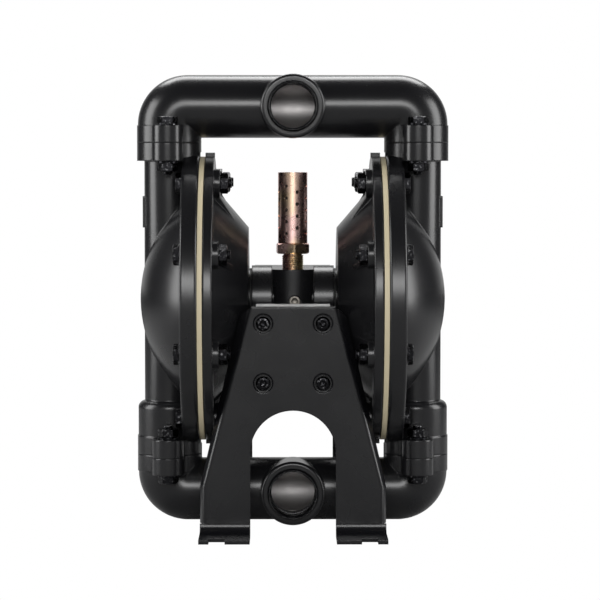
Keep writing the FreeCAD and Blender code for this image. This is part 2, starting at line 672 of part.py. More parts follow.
def center_body():
    body = new_body("center_body", (0, 0, dims.axis_height))
    pad(body, "Core", "YZ_Plane", -dims.neck_start, [circle(0, 0, dims.core_radius)], dims.neck_start * 2)
    neck = pad(body, "Neck", "YZ_Plane", dims.neck_start, [circle(0, 0, dims.neck_radius)],
               dims.neck_end - dims.neck_start)
    mirrored(body, "OtherNeck", [neck], "YZ_Plane")
    pad(body, "Boss", "XY_Plane", -dims.boss_radius, [circle(0, 0, dims.boss_radius)],
        dims.boss_top + dims.boss_radius)
    front = dims.pad_face - dims.pad_thick
    for name, start in (("FrontArm", dims.side_half), ("RearArm", -front)):
        pad(body, name, "XZ_Plane", start, [box(-dims.arm_half, dims.arm_half, -dims.arm_low, -dims.pad_top)],
            front - dims.side_half)
    pad(body, "Middle", "XZ_Plane", -dims.side_half,
        [box(-dims.neck_end, dims.neck_end, -dims.arm_low, -dims.middle_top)], dims.side_half * 2)
    wide = dims.pad_half_width
    pad(body, "FrontPad", "XZ_Plane", front, [box(-wide, wide, -dims.pad_bottom, -dims.pad_top)],
        dims.pad_thick)
    pad(body, "RearPad", "XZ_Plane", -dims.pad_face, [box(-wide, wide, -dims.pad_bottom, -dims.pad_top)],
        dims.pad_thick)
    pad(body, "RearBody", "XZ_Plane", -dims.pad_face,
        [box(-dims.rear_half, dims.rear_half, -dims.rear_low, dims.rear_high)],
        dims.pad_face - dims.shaft_radius)
    pocket(body, "ShaftBore", "YZ_Plane", -dims.neck_end,
           [circle(0, 0, dims.shaft_radius + dims.soft_gap)], dims.neck_end * 2)
    bush = pocket(body, "BushBore", "YZ_Plane", dims.bush_start, [circle(0, 0, dims.bush_radius)],
                  dims.neck_end - dims.bush_start)
    pilot_seal = pocket(body, "PilotSealBore", "YZ_Plane", dims.pilot_seal_start,
                        [circle(0, -dims.pilot_offset, dims.pilot_seal_radius)],
                        dims.neck_end - dims.pilot_seal_start)
    ways = pocket(body, "AirWay", "YZ_Plane", dims.air_way_reach,
                  [circle(dims.air_way_offset, 0, dims.air_way)], dims.neck_end - dims.air_way_reach)
    spot = around(dims.end_screw_circle, 45)
    screws = [circle(spot[0] * a, spot[1] * b, dims.small_screw + dims.close_fit)
              for a in (1, -1) for b in (1, -1)]
    tapped = pocket(body, "EndScrewHoles", "YZ_Plane", dims.neck_end - dims.small_depth, screws,
                    dims.small_depth)
    mirrored(body, "OtherEndBores", [bush, pilot_seal, ways, tapped], "YZ_Plane")
    pocket(body, "PilotBore", "YZ_Plane", -dims.neck_end,
           [circle(0, -dims.pilot_offset, dims.pilot_radius + dims.close_fit)], dims.neck_end * 2)
    pocket(body, "SideWays", "XZ_Plane", -dims.pad_face,
           [circle(dims.air_way_reach, 0, dims.air_way), circle(-dims.air_way_reach, 0, dims.air_way)],
           dims.pad_face - dims.air_way_offset)
    pocket(body, "ExhaustWay", "XZ_Plane", -dims.pad_face,
           [circle(0, dims.exhaust_rise, dims.exhaust_way)], dims.pad_face)
    pocket(body, "ExhaustPort", "XY_Plane", dims.boss_top - dims.nipple_depth - dims.loose_fit,
           [circle(0, 0, dims.nipple_radius + dims.close_fit)], dims.nipple_depth + dims.loose_fit)
    tap = dims.support_screw + dims.close_fit
    x = dims.support_screw_x
    depth = dims.support_screw_depth
    pocket(body, "FrontTaps", "XZ_Plane", dims.pad_face - depth,
           [circle(x, -dims.support_screw_high, tap), circle(-x, -dims.support_screw_high, tap),
            circle(x, -dims.support_screw_low, tap), circle(-x, -dims.support_screw_low, tap)], depth)
    pocket(body, "RearTaps", "XZ_Plane", -dims.pad_face,
           [circle(x, -dims.support_screw_low, tap), circle(-x, -dims.support_screw_low, tap)], depth)
    valve = dims.small_screw + dims.close_fit
    pocket(body, "ValveTaps", "XZ_Plane", -dims.pad_face,
           [circle(a * dims.valve_screw_x, b * dims.valve_screw_z - dims.valve_drop, valve)
            for a in (1, -1) for b in (1, -1)], dims.small_depth)
    pocket(body, "PlugBore", "XZ_Plane", dims.plug_flat - dims.plug_depth,
           [circle(dims.plug_x, -dims.plug_drop, dims.plug_radius + dims.close_fit)],
           dims.boss_radius + dims.over_cut - dims.plug_flat + dims.plug_depth)


def diaphragm(label, turn):
    """The soft disc: clamped edge, one roll, flat middle between the plates."""
    body = new_body(label, (0, 0, dims.axis_height), turn)
    low = dims.air_rim_outer + dims.soft_gap
    high = dims.rim_inner - dims.soft_gap
    deep = dims.roll_depth
    middle = (dims.roll_outer + dims.roll_inner) / 2
    quarter = (dims.roll_outer - dims.roll_inner) / 4
    face = high - dims.membrane
    half = dims.membrane / 2
    turned(body, "Disc", "XZ_Plane",
           [(face, dims.plate_screw + dims.loose_fit), (high, dims.plate_screw + dims.loose_fit),
            (high, dims.roll_inner), (high - deep / 2, middle - quarter), (high - deep, middle),
            (high - deep / 2, middle + quarter), (high, dims.roll_outer), (high, dims.bead_radius),
            (low, dims.bead_radius), (low, dims.air_mouth - dims.bolt_play),
            (face - deep / 2, middle + quarter + half), (face - deep, middle),
            (face - deep / 2, middle - quarter - half), (face, dims.roll_inner - half)], "X_Axis")
    place = around(dims.bolt_circle, BOLT_START)
    hole = pocket(body, "BoltHole", "YZ_Plane", low,
                  [circle(place[0], place[1], dims.bolt_radius + dims.bolt_play)], high - low)
    polar(body, "BoltHoles", [hole], "X_Axis", dims.cover_bolts)


def plates(side, turn):
    air_face = dims.rim_inner - dims.soft_gap * 2 - dims.membrane
    fluid_face = dims.rim_inner
    bore = dims.plate_screw + dims.loose_fit
    r = dims.plate_round
    inner = new_body(f"{side}_inner_plate", (0, 0, dims.axis_height), turn)
    turned(inner, "Plate", "XZ_Plane",
           [(dims.shaft_end, bore), (air_face, bore), (air_face, dims.inner_plate - r),
            (air_face - r, dims.inner_plate, r, 1), (air_face - dims.plate_edge, dims.inner_plate - r, r, 1),
            (air_face - dims.plate_thick, dims.plate_hub + dims.plate_edge),
             (dims.shaft_end, dims.plate_hub)], "X_Axis")
    outer = new_body(f"{side}_outer_plate", (0, 0, dims.axis_height), turn)
    top = fluid_face + dims.plate_thick
    turned(outer, "Plate", "XZ_Plane",
           [(fluid_face, bore), (top, bore), (top, dims.plate_hub),
            (fluid_face + dims.plate_edge, dims.outer_plate - r), (fluid_face + r, dims.outer_plate, r, 1),
            (fluid_face, dims.outer_plate - r, r, 1)], "X_Axis")
    screw = new_body(f"{side}_plate_screw", (0, 0, dims.axis_height), turn)
    pad(screw, "Shank", "YZ_Plane", dims.shaft_end - dims.plate_screw_depth,
        [circle(0, 0, dims.plate_screw)], top - dims.shaft_end + dims.plate_screw_depth)
    pad(screw, "Head", "YZ_Plane", top, [hexagon(0, 0, dims.plate_head_flats)], dims.plate_head)


def shaft():
    body = new_body("shaft", (0, 0, dims.axis_height))
    end = dims.shaft_end
    inset = dims.end_chamfer
    turned(body, "Rod", "XZ_Plane",
           [(-end, 0), (end, 0), (end, dims.shaft_radius - inset), (end - inset, dims.shaft_radius),
            (inset - end, dims.shaft_radius), (-end, dims.shaft_radius - inset)], "X_Axis")
    depth = dims.plate_screw_depth + dims.thread_tail
    tap = pocket(body, "Tap", "YZ_Plane", end - depth,
                 [circle(0, 0, dims.plate_screw + dims.close_fit)], depth)
    mirrored(body, "OtherTap", [tap], "YZ_Plane")


def pilot_rod():
    body = new_body("pilot_rod", (0, 0, dims.axis_height - dims.pilot_offset))
    end = dims.pilot_end
    inset = dims.end_chamfer
    turned(body, "Rod", "XZ_Plane",
           [(-end, 0), (end, 0), (end, dims.pilot_radius - inset), (end - inset, dims.pilot_radius),
            (inset - end, dims.pilot_radius), (-end, dims.pilot_radius - inset)], "X_Axis")


def ring(label, turn, start, end, inner, outer, drop=0):
    body = new_body(label, (0, 0, dims.axis_height - drop), turn)
    pad(body, "Ring", "YZ_Plane", start, [circle(0, 0, outer), circle(0, 0, inner)], end - start)
    return body


def end_gasket(label, turn):
    body = ring(label, turn, dims.neck_end, dims.spigot_face, dims.bush_radius, dims.spigot_radius)
    pocket(body, "Ways", "YZ_Plane", dims.neck_end,
           [circle(dims.air_way_offset, 0, dims.air_way), circle(-dims.air_way_offset, 0, dims.air_way),
            circle(0, -dims.pilot_offset, dims.pilot_radius + dims.soft_gap)],
           dims.spigot_face - dims.neck_end)
    spot = around(dims.end_screw_circle, 45)
    pocket(body, "ScrewHoles", "YZ_Plane", dims.neck_end,
           [circle(spot[0] * a, spot[1] * b, dims.small_screw + dims.soft_gap)
            for a in (1, -1) for b in (1, -1)], dims.spigot_face - dims.neck_end)


def end_screws():
    body = new_body("air_cover_screws", (0, 0, dims.axis_height))
    spot = around(dims.end_screw_circle, 45)
    seat = dims.cone_end + dims.air_wall
    places = [(spot[0] * a, spot[1] * b) for a in (1, -1) for b in (1, -1)]
    start = dims.neck_end - dims.small_depth + dims.tip_gap
    shank = pad(body, "Shanks", "YZ_Plane", start,
                [circle(y, up, dims.small_screw) for y, up in places], seat - start)
    head = pad(body, "Heads", "YZ_Plane", seat,
               [circle(y, up, dims.small_head) for y, up in places], dims.small_head_height)
    socket = pocket(body, "Sockets", "YZ_Plane", seat + dims.small_head_height - dims.socket_depth,
                    [hexagon(y, up, dims.small_head) for y, up in places], dims.socket_depth)
    mirrored(body, "OtherSide", [shank, head, socket], "YZ_Plane")


def ball_parts():
    for level, base in (("upper", dims.split_height), ("lower", -dims.split_height)):
        for side, _, sign in SIDES:
            place = (dims.column_offset * sign, 0, dims.axis_height + base)
            seat = new_body(f"{level}_{side}_seat", place)
            rest = dims.seat_height
            deep = dims.ring_section * 2
            low = (dims.seat_height - dims.seat_groove) / 2
            turned(seat, "Seat", "XZ_Plane",
                   [(dims.seat_bore, -rest), (dims.seat_radius, -rest), (dims.seat_radius, -rest + low),
                    (dims.seat_radius - deep, -rest + low), (dims.seat_radius - deep, -low),
                    (dims.seat_radius, -low), (dims.seat_radius, 0), (dims.seat_bore, 0)], "Z_Axis")
            seal = new_body(f"{level}_{side}_o_ring", place)
            middle = dims.seat_radius - dims.ring_section
            turned(seal, "Ring", "XZ_Plane", circle(middle, -rest / 2, dims.ring_section), "Z_Axis")
            ball = doc.addObject("Part::Sphere", f"{level}_{side}_ball")
            ball.Label = f"{level}_{side}_ball"
            bind(ball, "Radius", dims.ball_radius)
            lift = root(dims.ball_radius * dims.ball_radius - dims.seat_bore * dims.seat_bore)
            for axis, size in zip("xyz", (place[0], 0, place[2] + lift)):
                bind(ball, f"Placement.Base.{axis}", size)
            parts.append(ball)


def manifold_fasteners():
    x = dims.column_offset
    y = dims.ear_offset
    places = [(x, y), (x, -y), (-x, y), (-x, -y)]
    head = dims.split_height + dims.manifold_flange + dims.washer_height
    foot = dims.split_height - dims.cover_flange - dims.washer_height - dims.nut_height
    bolts = new_body("manifold_bolts", (0, 0, dims.axis_height))
    shank = pad(bolts, "Shanks", "XY_Plane", foot - dims.thread_tail,
                [circle(a, b, dims.bolt_radius) for a, b in places], head - foot + dims.thread_tail)
    heads = pad(bolts, "Heads", "XY_Plane", head,
                [hexagon(a, b, dims.hex_flats, 0) for a, b in places], dims.head_height)
    mirrored(bolts, "LowerBolts", [shank, heads], "XY_Plane")
    washers = new_body("manifold_washers", (0, 0, dims.axis_height))
    loops = [circle(a, b, dims.washer_radius) for a, b in places]
    holes = [circle(a, b, dims.bolt_radius + dims.soft_gap) for a, b in places]
    top = pad(washers, "HeadWashers", "XY_Plane", head - dims.washer_height, loops + holes,
              dims.washer_height)
    low = pad(washers, "NutWashers", "XY_Plane", foot + dims.nut_height, loops + holes,
              dims.washer_height)
    mirrored(washers, "LowerWashers", [top, low], "XY_Plane")
    nuts = new_body("manifold_nuts", (0, 0, dims.axis_height))
    bores = [circle(a, b, dims.bolt_radius + dims.close_fit) for a, b in places]
    nut = pad(nuts, "Nuts", "XY_Plane", foot,
              [hexagon(a, b, dims.hex_flats, 0) for a, b in places] + bores, dims.nut_height)
    mirrored(nuts, "LowerNuts", [nut], "XY_Plane")


def cover_fasteners():
    place = around(dims.bolt_circle, BOLT_START)
    bolts = new_body("cover_bolts", (0, 0, dims.axis_height))
    end = dims.lug_face - dims.nut_height
    shank = pad(bolts, "Shank", "YZ_Plane", end - dims.thread_tail,
                [circle(place[0], place[1], dims.bolt_radius)], dims.rim_outer - end + dims.thread_tail)
    head = pad(bolts, "Head", "YZ_Plane", dims.rim_outer,
               [hexagon(place[0], place[1], dims.hex_flats)], dims.head_height)
    polar(bolts, "SideBolts", [shank, head], "X_Axis", dims.cover_bolts)
    other_shank = pad(bolts, "OtherShank", "YZ_Plane", -dims.rim_outer,
                      [circle(place[0], place[1], dims.bolt_radius)],
                      dims.rim_outer - end + dims.thread_tail)
    other_head = pad(bolts, "OtherHead", "YZ_Plane", -dims.rim_outer - dims.head_height,
                     [hexagon(place[0], place[1], dims.hex_flats)], dims.head_height)
    polar(bolts, "OtherBolts", [other_shank, other_head], "X_Axis", dims.cover_bolts)
    nuts = new_body("cover_nuts", (0, 0, dims.axis_height))
    loops = [hexagon(place[0], place[1], dims.hex_flats),
             circle(place[0], place[1], dims.bolt_radius + dims.close_fit)]
    nut = pad(nuts, "Nut", "YZ_Plane", end, loops, dims.nut_height)
    polar(nuts, "SideNuts", [nut], "X_Axis", dims.cover_bolts)
    other = pad(nuts, "OtherNut", "YZ_Plane", -dims.lug_face, loops, dims.nut_height)
    polar(nuts, "OtherNuts", [other], "X_Axis", dims.cover_bolts)


def support(label, turn, drop, arch_drop):
    """Bent sheet bracket: arched plate, folded edges and two feet with open slots."""
    body = new_body(label, (0, 0, 0), turn)
    near = dims.pad_face
    outer = dims.bend_inner + dims.sheet
    top = dims.axis_height - drop
    arch = dims.axis_height - arch_drop
    rise = dims.axis_height - dims.bracket_drop - dims.leg_shoulder
    slant = (dims.leg_outer - dims.bracket_top_half) / rise
    half = dims.leg_outer - (top - dims.leg_shoulder) * slant
    cut = dims.bracket_corner
    plate = [(-dims.leg_outer, outer), (dims.leg_outer, outer), (dims.leg_outer, dims.leg_shoulder),
             (half + cut * slant, top - cut), (half - cut, top), (cut - half, top),
             (-half - cut * slant, top - cut), (-dims.leg_outer, dims.leg_shoulder)]
    pad(body, "Plate", "XZ_Plane", near, [plate], dims.sheet)
    fold = top - dims.lip_top
    fold_x = dims.leg_outer - (fold - dims.leg_shoulder) * slant
    lips = []
    for sign in (1, -1):
        lips.append([(dims.leg_outer * sign, outer), (dims.leg_outer * sign, dims.leg_shoulder),
                     (fold_x * sign, fold), ((fold_x - dims.sheet) * sign, fold),
                     ((dims.leg_outer - dims.sheet) * sign, dims.leg_shoulder),
                     ((dims.leg_outer - dims.sheet) * sign, outer)])
    lip = pad(body, "Lips", "XZ_Plane", near + dims.sheet - dims.lip_depth, lips, dims.lip_depth)
    doc.recompute()
    face = (near + dims.sheet).value
    folds = []
    for number, edge in enumerate(lip.Shape.Edges, start=1):
        ends = [vertex.Point for vertex in edge.Vertexes]
        on_face = all(abs(point.y + face) < 0.01 for point in ends)
        heights = sorted(point.z for point in ends)
        outside = all(abs(point.x) > fold_x.value - 0.01 for point in ends)
        if on_face and outside and heights[1] - heights[0] > dims.lip_depth.value:
            folds.append(f"Edge{number}")
    rounding = body.newObject("PartDesign::Fillet", "FoldRounding")
    rounding.Base = (lip, folds)
    bind(rounding, "Radius", dims.fold_round)
    body.Tip = rounding
    bend = near + outer
    foot = [(-near, outer), (-bend, 0, outer, -1), (-dims.foot_reach, 0), (-dims.foot_reach, dims.sheet),
            (-bend, dims.sheet), (-near - dims.sheet, outer, dims.bend_inner, 1)]
    wide = dims.leg_outer - dims.leg_inner
    foot_right = pad(body, "Foot", "YZ_Plane", dims.leg_inner, [foot], wide)
    mirrored(body, "OtherFoot", [foot_right], "YZ_Plane")
    over = dims.over_cut
    pocket(body, "ArchOpening", "XZ_Plane", near - over,
           [box(-dims.leg_inner, dims.leg_inner, -over, arch)], dims.sheet + over * 2)
    pocket(body, "ArchRound", "XZ_Plane", near - over, [circle(0, arch, dims.leg_inner)],
           dims.sheet + over * 2)
    slot = dims.notch_half
    slots = [box(a * dims.notch_centre - slot, a * dims.notch_centre + slot,
                 -dims.foot_reach - over, dims.notch_depth - dims.foot_reach) for a in (1, -1)]
    pocket(body, "Slots", "XY_Plane", -over, slots, dims.sheet + over * 2)
    x = dims.support_screw_x
    rows = [dims.axis_height - dims.support_screw_low]
    if turn is None:
        rows.append(dims.axis_height - dims.support_screw_high)
    places = [(a * x, up) for a in (1, -1) for up in rows]
    pocket(body, "ScrewHoles", "XZ_Plane", near,
           [circle(a, up, dims.support_screw + dims.bolt_play) for a, up in places], dims.sheet)
    pocket(body, "Dishes", "XZ_Plane", near + dims.sheet - dims.dish_depth,
           [circle(a, up, dims.dish_radius) for a, up in places], dims.dish_depth)


def support_screws():
    body = new_body("support_screws", (0, 0, dims.axis_height))
    seat = dims.pad_face + dims.sheet - dims.dish_depth
    x = dims.support_screw_x
    front = [(a * x, -up) for a in (1, -1) for up in (dims.support_screw_high, dims.support_screw_low)]
    rear = [(a * x, -dims.support_screw_low) for a in (1, -1)]
    start = dims.pad_face - dims.support_screw_depth + dims.tip_gap
    pad(body, "FrontShanks", "XZ_Plane", start, [circle(a, up, dims.support_screw) for a, up in front],
        seat - start)
    pad(body, "FrontHeads", "XZ_Plane", seat, [circle(a, up, dims.support_head) for a, up in front],
        dims.support_head_height)
    pad(body, "RearShanks", "XZ_Plane", -seat, [circle(a, up, dims.support_screw) for a, up in rear],
        seat - start)
    pad(body, "RearHeads", "XZ_Plane", -seat - dims.support_head_height,
        [circle(a, up, dims.support_head) for a, up in rear], dims.support_head_height)
    deep = dims.socket_depth
    pocket(body, "FrontSockets", "XZ_Plane", seat + dims.support_head_height - deep,
           [hexagon(a, up, dims.support_head) for a, up in front], deep)
    pocket(body, "RearSockets", "XZ_Plane", -seat - dims.support_head_height,
           [hexagon(a, up, dims.support_head) for a, up in rear], deep)


def valve():
    middle = dims.axis_height - dims.valve_drop
    start = dims.gasket
    block = new_body("valve_block", (0, dims.pad_face, middle))
    half = dims.valve_half
    high = dims.valve_height
    pad(block, "Block", "XZ_Plane", -start - dims.valve_depth, [box(-half, half, -high, high)],
        dims.valve_depth)
    back = start + dims.valve_depth
    pad(block, "InletBoss", "XZ_Plane", -back - dims.inlet_rise, [circle(0, 0, dims.inlet_boss)],
        dims.inlet_rise)
    spool_y = start + dims.spool_back
    pocket(block, "SleeveBore", "YZ_Plane", -half,
           [circle(spool_y, 0, dims.sleeve_radius + dims.loose_fit)], half * 2)
    pocket(block, "InletThread", "XZ_Plane", -back - dims.inlet_rise, [circle(0, 0, dims.inlet_radius)],
           dims.inlet_depth)
    pocket(block, "InletWay", "XZ_Plane", -back, [circle(0, 0, dims.exhaust_way)],
           dims.valve_depth - dims.spool_back)
    pocket(block, "ChamberWays", "XZ_Plane", -spool_y,
           [circle(dims.air_way_reach, dims.valve_drop, dims.air_way),
            circle(-dims.air_way_reach, dims.valve_drop, dims.air_way)], dims.spool_back)
    pocket(block, "ExhaustWay", "XZ_Plane", -spool_y,
           [circle(0, dims.valve_drop + dims.exhaust_rise, dims.exhaust_way)], dims.spool_back)
    pocket(block, "ExhaustDrop", "XY_Plane", 0, [circle(0, spool_y, dims.air_way)],
           dims.valve_drop + dims.exhaust_rise)
    places = [(a * dims.valve_screw_x, b * dims.valve_screw_z) for a in (1, -1) for b in (1, -1)]
    pocket(block, "ScrewHoles", "XZ_Plane", -back,
           [circle(a, up, dims.small_screw + dims.soft_gap) for a, up in places], dims.valve_depth)
    offset = dims.cap_screw_offset
    spots = [(spool_y + a * offset, b * offset) for a in (1, -1) for b in (1, -1)]
    taps = pocket(block, "CapTaps", "YZ_Plane", half - dims.cap_screw_depth,
                  [circle(y, up, dims.cap_screw + dims.close_fit) for y, up in spots], dims.cap_screw_depth)
    mirrored(block, "OtherCapTaps", [taps], "YZ_Plane")
    for side, _, sign in SIDES:
        cap = new_body(f"{side}_valve_cap", (0, dims.pad_face, middle))
        base = half if sign > 0 else -half - dims.cap_thick
        size = dims.cap_half
        pad(cap, "Cap", "YZ_Plane", base, [box(spool_y - size, spool_y + size, -size, size)],
            dims.cap_thick)
        pocket(cap, "ScrewHoles", "YZ_Plane", base,
               [circle(y, up, dims.cap_screw + dims.soft_gap) for y, up in spots], dims.cap_thick)
    screws = new_body("valve_cap_screws", (0, dims.pad_face, middle))
    first = half - dims.cap_screw_depth + dims.tip_gap
    top = half + dims.cap_thick
    shank = pad(screws, "Shanks", "YZ_Plane", first,
                [circle(y, up, dims.cap_screw) for y, up in spots], top - first)
    head = pad(screws, "Heads", "YZ_Plane", top,
               [circle(y, up, dims.cap_screw_head) for y, up in spots], dims.cap_screw_height)
    mirrored(screws, "OtherScrews", [shank, head], "YZ_Plane")
    long_screws = new_body("valve_block_screws", (0, dims.pad_face, middle))
    tip = dims.small_depth - dims.tip_gap
    pad(long_screws, "Shanks", "XZ_Plane", -back,
        [circle(a, up, dims.small_screw) for a, up in places], back + tip)
    pad(long_screws, "Heads", "XZ_Plane", -back - dims.small_head_height,
        [circle(a, up, dims.small_head) for a, up in places], dims.small_head_height)
    pocket(long_screws, "Sockets", "XZ_Plane", -back - dims.small_head_height,
           [hexagon(a, up, dims.small_head) for a, up in places], dims.socket_depth)
    seal = new_body("valve_gasket", (0, dims.pad_face, middle))
    pad(seal, "Sheet", "XZ_Plane", -start,
        [box(-dims.rear_half, dims.rear_half, -high, high),
         circle(dims.air_way_reach, dims.valve_drop, dims.air_way),
         circle(-dims.air_way_reach, dims.valve_drop, dims.air_way),
         circle(0, dims.valve_drop + dims.exhaust_rise, dims.exhaust_way)]
        + [circle(a, up, dims.small_screw + dims.soft_gap) for a, up in places], start)
    sleeve = new_body("valve_sleeve", (0, dims.pad_face + spool_y, middle))
    length = half - dims.loose_fit
    pad(sleeve, "Tube", "YZ_Plane", -length,
        [circle(0, 0, dims.sleeve_radius), circle(0, 0, dims.spool_radius + dims.close_fit)], length * 2)
    deep = dims.sleeve_radius + dims.over_cut
    first_port = pocket(sleeve, "Port", "XY_Plane", 0,
                        [circle(a * dims.air_way_reach, 0, dims.sleeve_port) for a in (1, 0, -1)], deep)
    polar(sleeve, "Ports", [first_port], "X_Axis", dims.sleeve_ports)
    spool = new_body("spool", (0, dims.pad_face + spool_y, middle))
    left = dims.loose_fit * 2 - half
    right = half - dims.spool_travel - dims.loose_fit * 2
    land = dims.spool_land
    waist = dims.spool_waist
    full = dims.spool_radius
    centre = (left + right) / 2
    turned(spool, "Spool", "XZ_Plane",
           [(left, 0), (right, 0), (right, full), (right - land, full), (right - land, waist),
            (centre + land / 2, waist), (centre + land / 2, full), (centre - land / 2, full),
            (centre - land / 2, waist), (left + land, waist), (left + land, full), (left, full)],
           "X_Axis")


def muffler():
    base = new_body("muffler_base", (0, 0, dims.axis_height))
    inner = dims.muffler_radius - dims.muffler_wall
    bottom = dims.boss_top - dims.nipple_depth
    way = dims.nipple_way
    pad(base, "Nipple", "XY_Plane", bottom, [circle(0, 0, dims.nipple_radius), circle(0, 0, way)],
        dims.nipple_top - bottom)
    pad(base, "Hexagon", "XY_Plane", dims.nipple_top,
        [hexagon(0, 0, dims.muffler_hex, HEX_START), circle(0, 0, way)], dims.hex_top - dims.nipple_top)
    tube = new_body("muffler_tube", (0, 0, dims.axis_height), Rotation(Vector(0, 0, 1), HOLE_START))
    pad(tube, "Tube", "XY_Plane", dims.hex_top, [circle(0, 0, dims.muffler_radius), circle(0, 0, inner)],
        dims.muffler_top - dims.hex_top)
    deep = dims.muffler_radius + dims.over_cut
    rows = int(dims.muffler_rows.value)
    for set_name, drop in (("High", 0), ("Low", 0.5)):
        top = dims.muffler_top - dims.muffler_first - drop * dims.muffler_pitch
        column = [circle(0, top - row * dims.muffler_pitch, dims.muffler_hole) for row in range(rows)]
        first = pocket(tube, set_name + "Holes", "XZ_Plane", 0, column, deep)
        polar(tube, set_name + "Columns", [first], "Z_Axis", dims.muffler_columns / 2)
    cap = new_body("muffler_cap", (0, 0, dims.axis_height))
    play = dims.close_fit
    pad(cap, "Cap", "XY_Plane", dims.muffler_top - dims.muffler_cap - dims.cap_inset,
        [circle(0, 0, inner - play)],
        dims.muffler_cap)
    felt = new_body("muffler_element", (0, 0, dims.axis_height))
    pad(felt, "Felt", "XY_Plane", dims.hex_top + play,
        [circle(0, 0, inner - dims.soft_gap), circle(0, 0, way)],
        dims.muffler_top - dims.muffler_cap - dims.cap_inset - dims.hex_top - play * 2)


def body_plug():
    body = new_body("body_plug", (0, 0, dims.axis_height))
    spot = (dims.plug_x, -dims.plug_drop)
    pad(body, "Plug", "XZ_Plane", dims.plug_flat - dims.plug_depth + dims.loose_fit,
        [circle(spot[0], spot[1], dims.plug_radius)], dims.plug_depth)
    pocket(body, "Socket", "XZ_Plane", dims.plug_flat - dims.socket_depth,
           [hexagon(spot[0], spot[1], dims.plug_radius)], dims.socket_depth + dims.over_cut)


def build_all():
    manifold("upper_manifold", True)
    manifold("lower_manifold", False)
    for side, turn, _ in SIDES:
        fluid_cover(f"{side}_fluid_cover", turn)
        air_cover(f"{side}_air_cover", turn)
        diaphragm(f"{side}_diaphragm", turn)
        plates(side, turn)
        ring(f"{side}_shaft_bush", turn, dims.bush_start + dims.loose_fit, dims.seal_start,
             dims.shaft_radius + dims.close_fit, dims.bush_radius - dims.close_fit)
        ring(f"{side}_shaft_seal", turn, dims.seal_start, dims.neck_end,
             dims.shaft_radius + dims.loose_fit, dims.bush_radius - dims.close_fit)
        ring(f"{side}_pilot_seal", turn, dims.pilot_seal_start, dims.neck_end,
             dims.pilot_radius + dims.loose_fit, dims.pilot_seal_radius - dims.close_fit,
             dims.pilot_offset)
        end_gasket(f"{side}_end_gasket", turn)
    center_body()
    shaft()
    pilot_rod()
    end_screws()
    ball_parts()
    manifold_fasteners()
    cover_fasteners()
    support("front_support", None, dims.bracket_drop, dims.arch_drop)
    support("rear_support", HALF_TURN, dims.rear_bracket_drop, dims.rear_arch_drop)
    support_screws()
    valve()
    muffler()
    body_plug()


def check_and_write():
    doc.recompute()
    for item in doc.Objects:
        if "Invalid" in item.State or "Error" in item.State:
            raise RuntimeError(f"{item.Label} did not build: {item.State}")
    os.makedirs("parts", exist_ok=True)
    for part in parts:
        if part.Shape.isNull() or not part.Shape.isValid():
            raise RuntimeError(f"{part.Label} has no sound shape")
        part.Shape.exportStep(f"parts/{part.Label}.step")
    print(len(parts), "sub-parts written")


build_all()
check_and_write()
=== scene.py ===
import json
import math

import bmesh
import bpy
from mathutils import Matrix, Vector
from mathutils.geometry import tessellate_polygon


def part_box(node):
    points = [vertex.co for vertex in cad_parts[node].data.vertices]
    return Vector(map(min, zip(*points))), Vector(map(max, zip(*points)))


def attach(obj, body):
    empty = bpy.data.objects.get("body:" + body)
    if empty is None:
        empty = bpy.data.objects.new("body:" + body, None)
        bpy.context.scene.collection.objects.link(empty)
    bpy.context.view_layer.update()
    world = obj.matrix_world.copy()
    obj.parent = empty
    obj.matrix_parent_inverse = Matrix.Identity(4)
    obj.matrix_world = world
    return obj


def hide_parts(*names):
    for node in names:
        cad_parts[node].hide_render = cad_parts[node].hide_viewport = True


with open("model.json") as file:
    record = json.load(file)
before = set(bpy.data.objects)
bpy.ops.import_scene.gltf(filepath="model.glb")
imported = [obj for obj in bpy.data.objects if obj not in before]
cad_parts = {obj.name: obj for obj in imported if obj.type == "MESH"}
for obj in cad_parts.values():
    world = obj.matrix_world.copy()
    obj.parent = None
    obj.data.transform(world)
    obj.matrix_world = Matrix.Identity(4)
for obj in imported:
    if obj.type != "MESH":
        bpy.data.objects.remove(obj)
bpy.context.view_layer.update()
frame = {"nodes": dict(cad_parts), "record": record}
nodes = frame["nodes"]
print("frame loaded:", len(nodes), "nodes")

mm = 0.001


def hexColor(code):  # sRGB hex to the linear colour that the shaders use
    channels = [int(code[i:i + 2], 16) / 255 for i in (1, 3, 5)]
    linear = [c / 12.92 if c <= 0.04045 else ((c + 0.055) / 1.055) ** 2.4 for c in channels]
    return (*linear, 1.0)


def addNode(tree, kind, settings=None, links=None):  # a node with its settings and its incoming links
    node = tree.nodes.new(kind)
    for name, value in (settings or {}).items():
        if isinstance(name, str) and hasattr(node, name):
            setattr(node, name, value)
        else:
            node.inputs[name].default_value = value
    for name, source in (links or {}).items():
        tree.links.new(source, node.inputs[name])
    return node


def newMaterial(name):
    material = bpy.data.materials.new(name)
    material.use_nodes = True
    material.node_tree.nodes.clear()
    return material, material.node_tree


def closeMaterial(tree, shader):
    output = addNode(tree, "ShaderNodeOutputMaterial")
    tree.links.new(shader.outputs[0], output.inputs["Surface"])


noiseSpan = {"From Min": 0.3, "From Max": 0.7}  # between these lies most of a noise texture
coatIor = 1.5  # of paint, rubber and plastic

# Thin satin paint on sand cast metal: deep black, soft wide highlights, a faint grain
castPaint = {"name": "satin_black_paint_on_cast_aluminium", "color": "#18181a",
             "edge": 1.8, "edgeSamples": 8, "grain": 0.7, "relief": 0.014, "strength": 0.3,
             "cloud": 40, "detail": 3.0, "rough": (0.24, 0.28)}
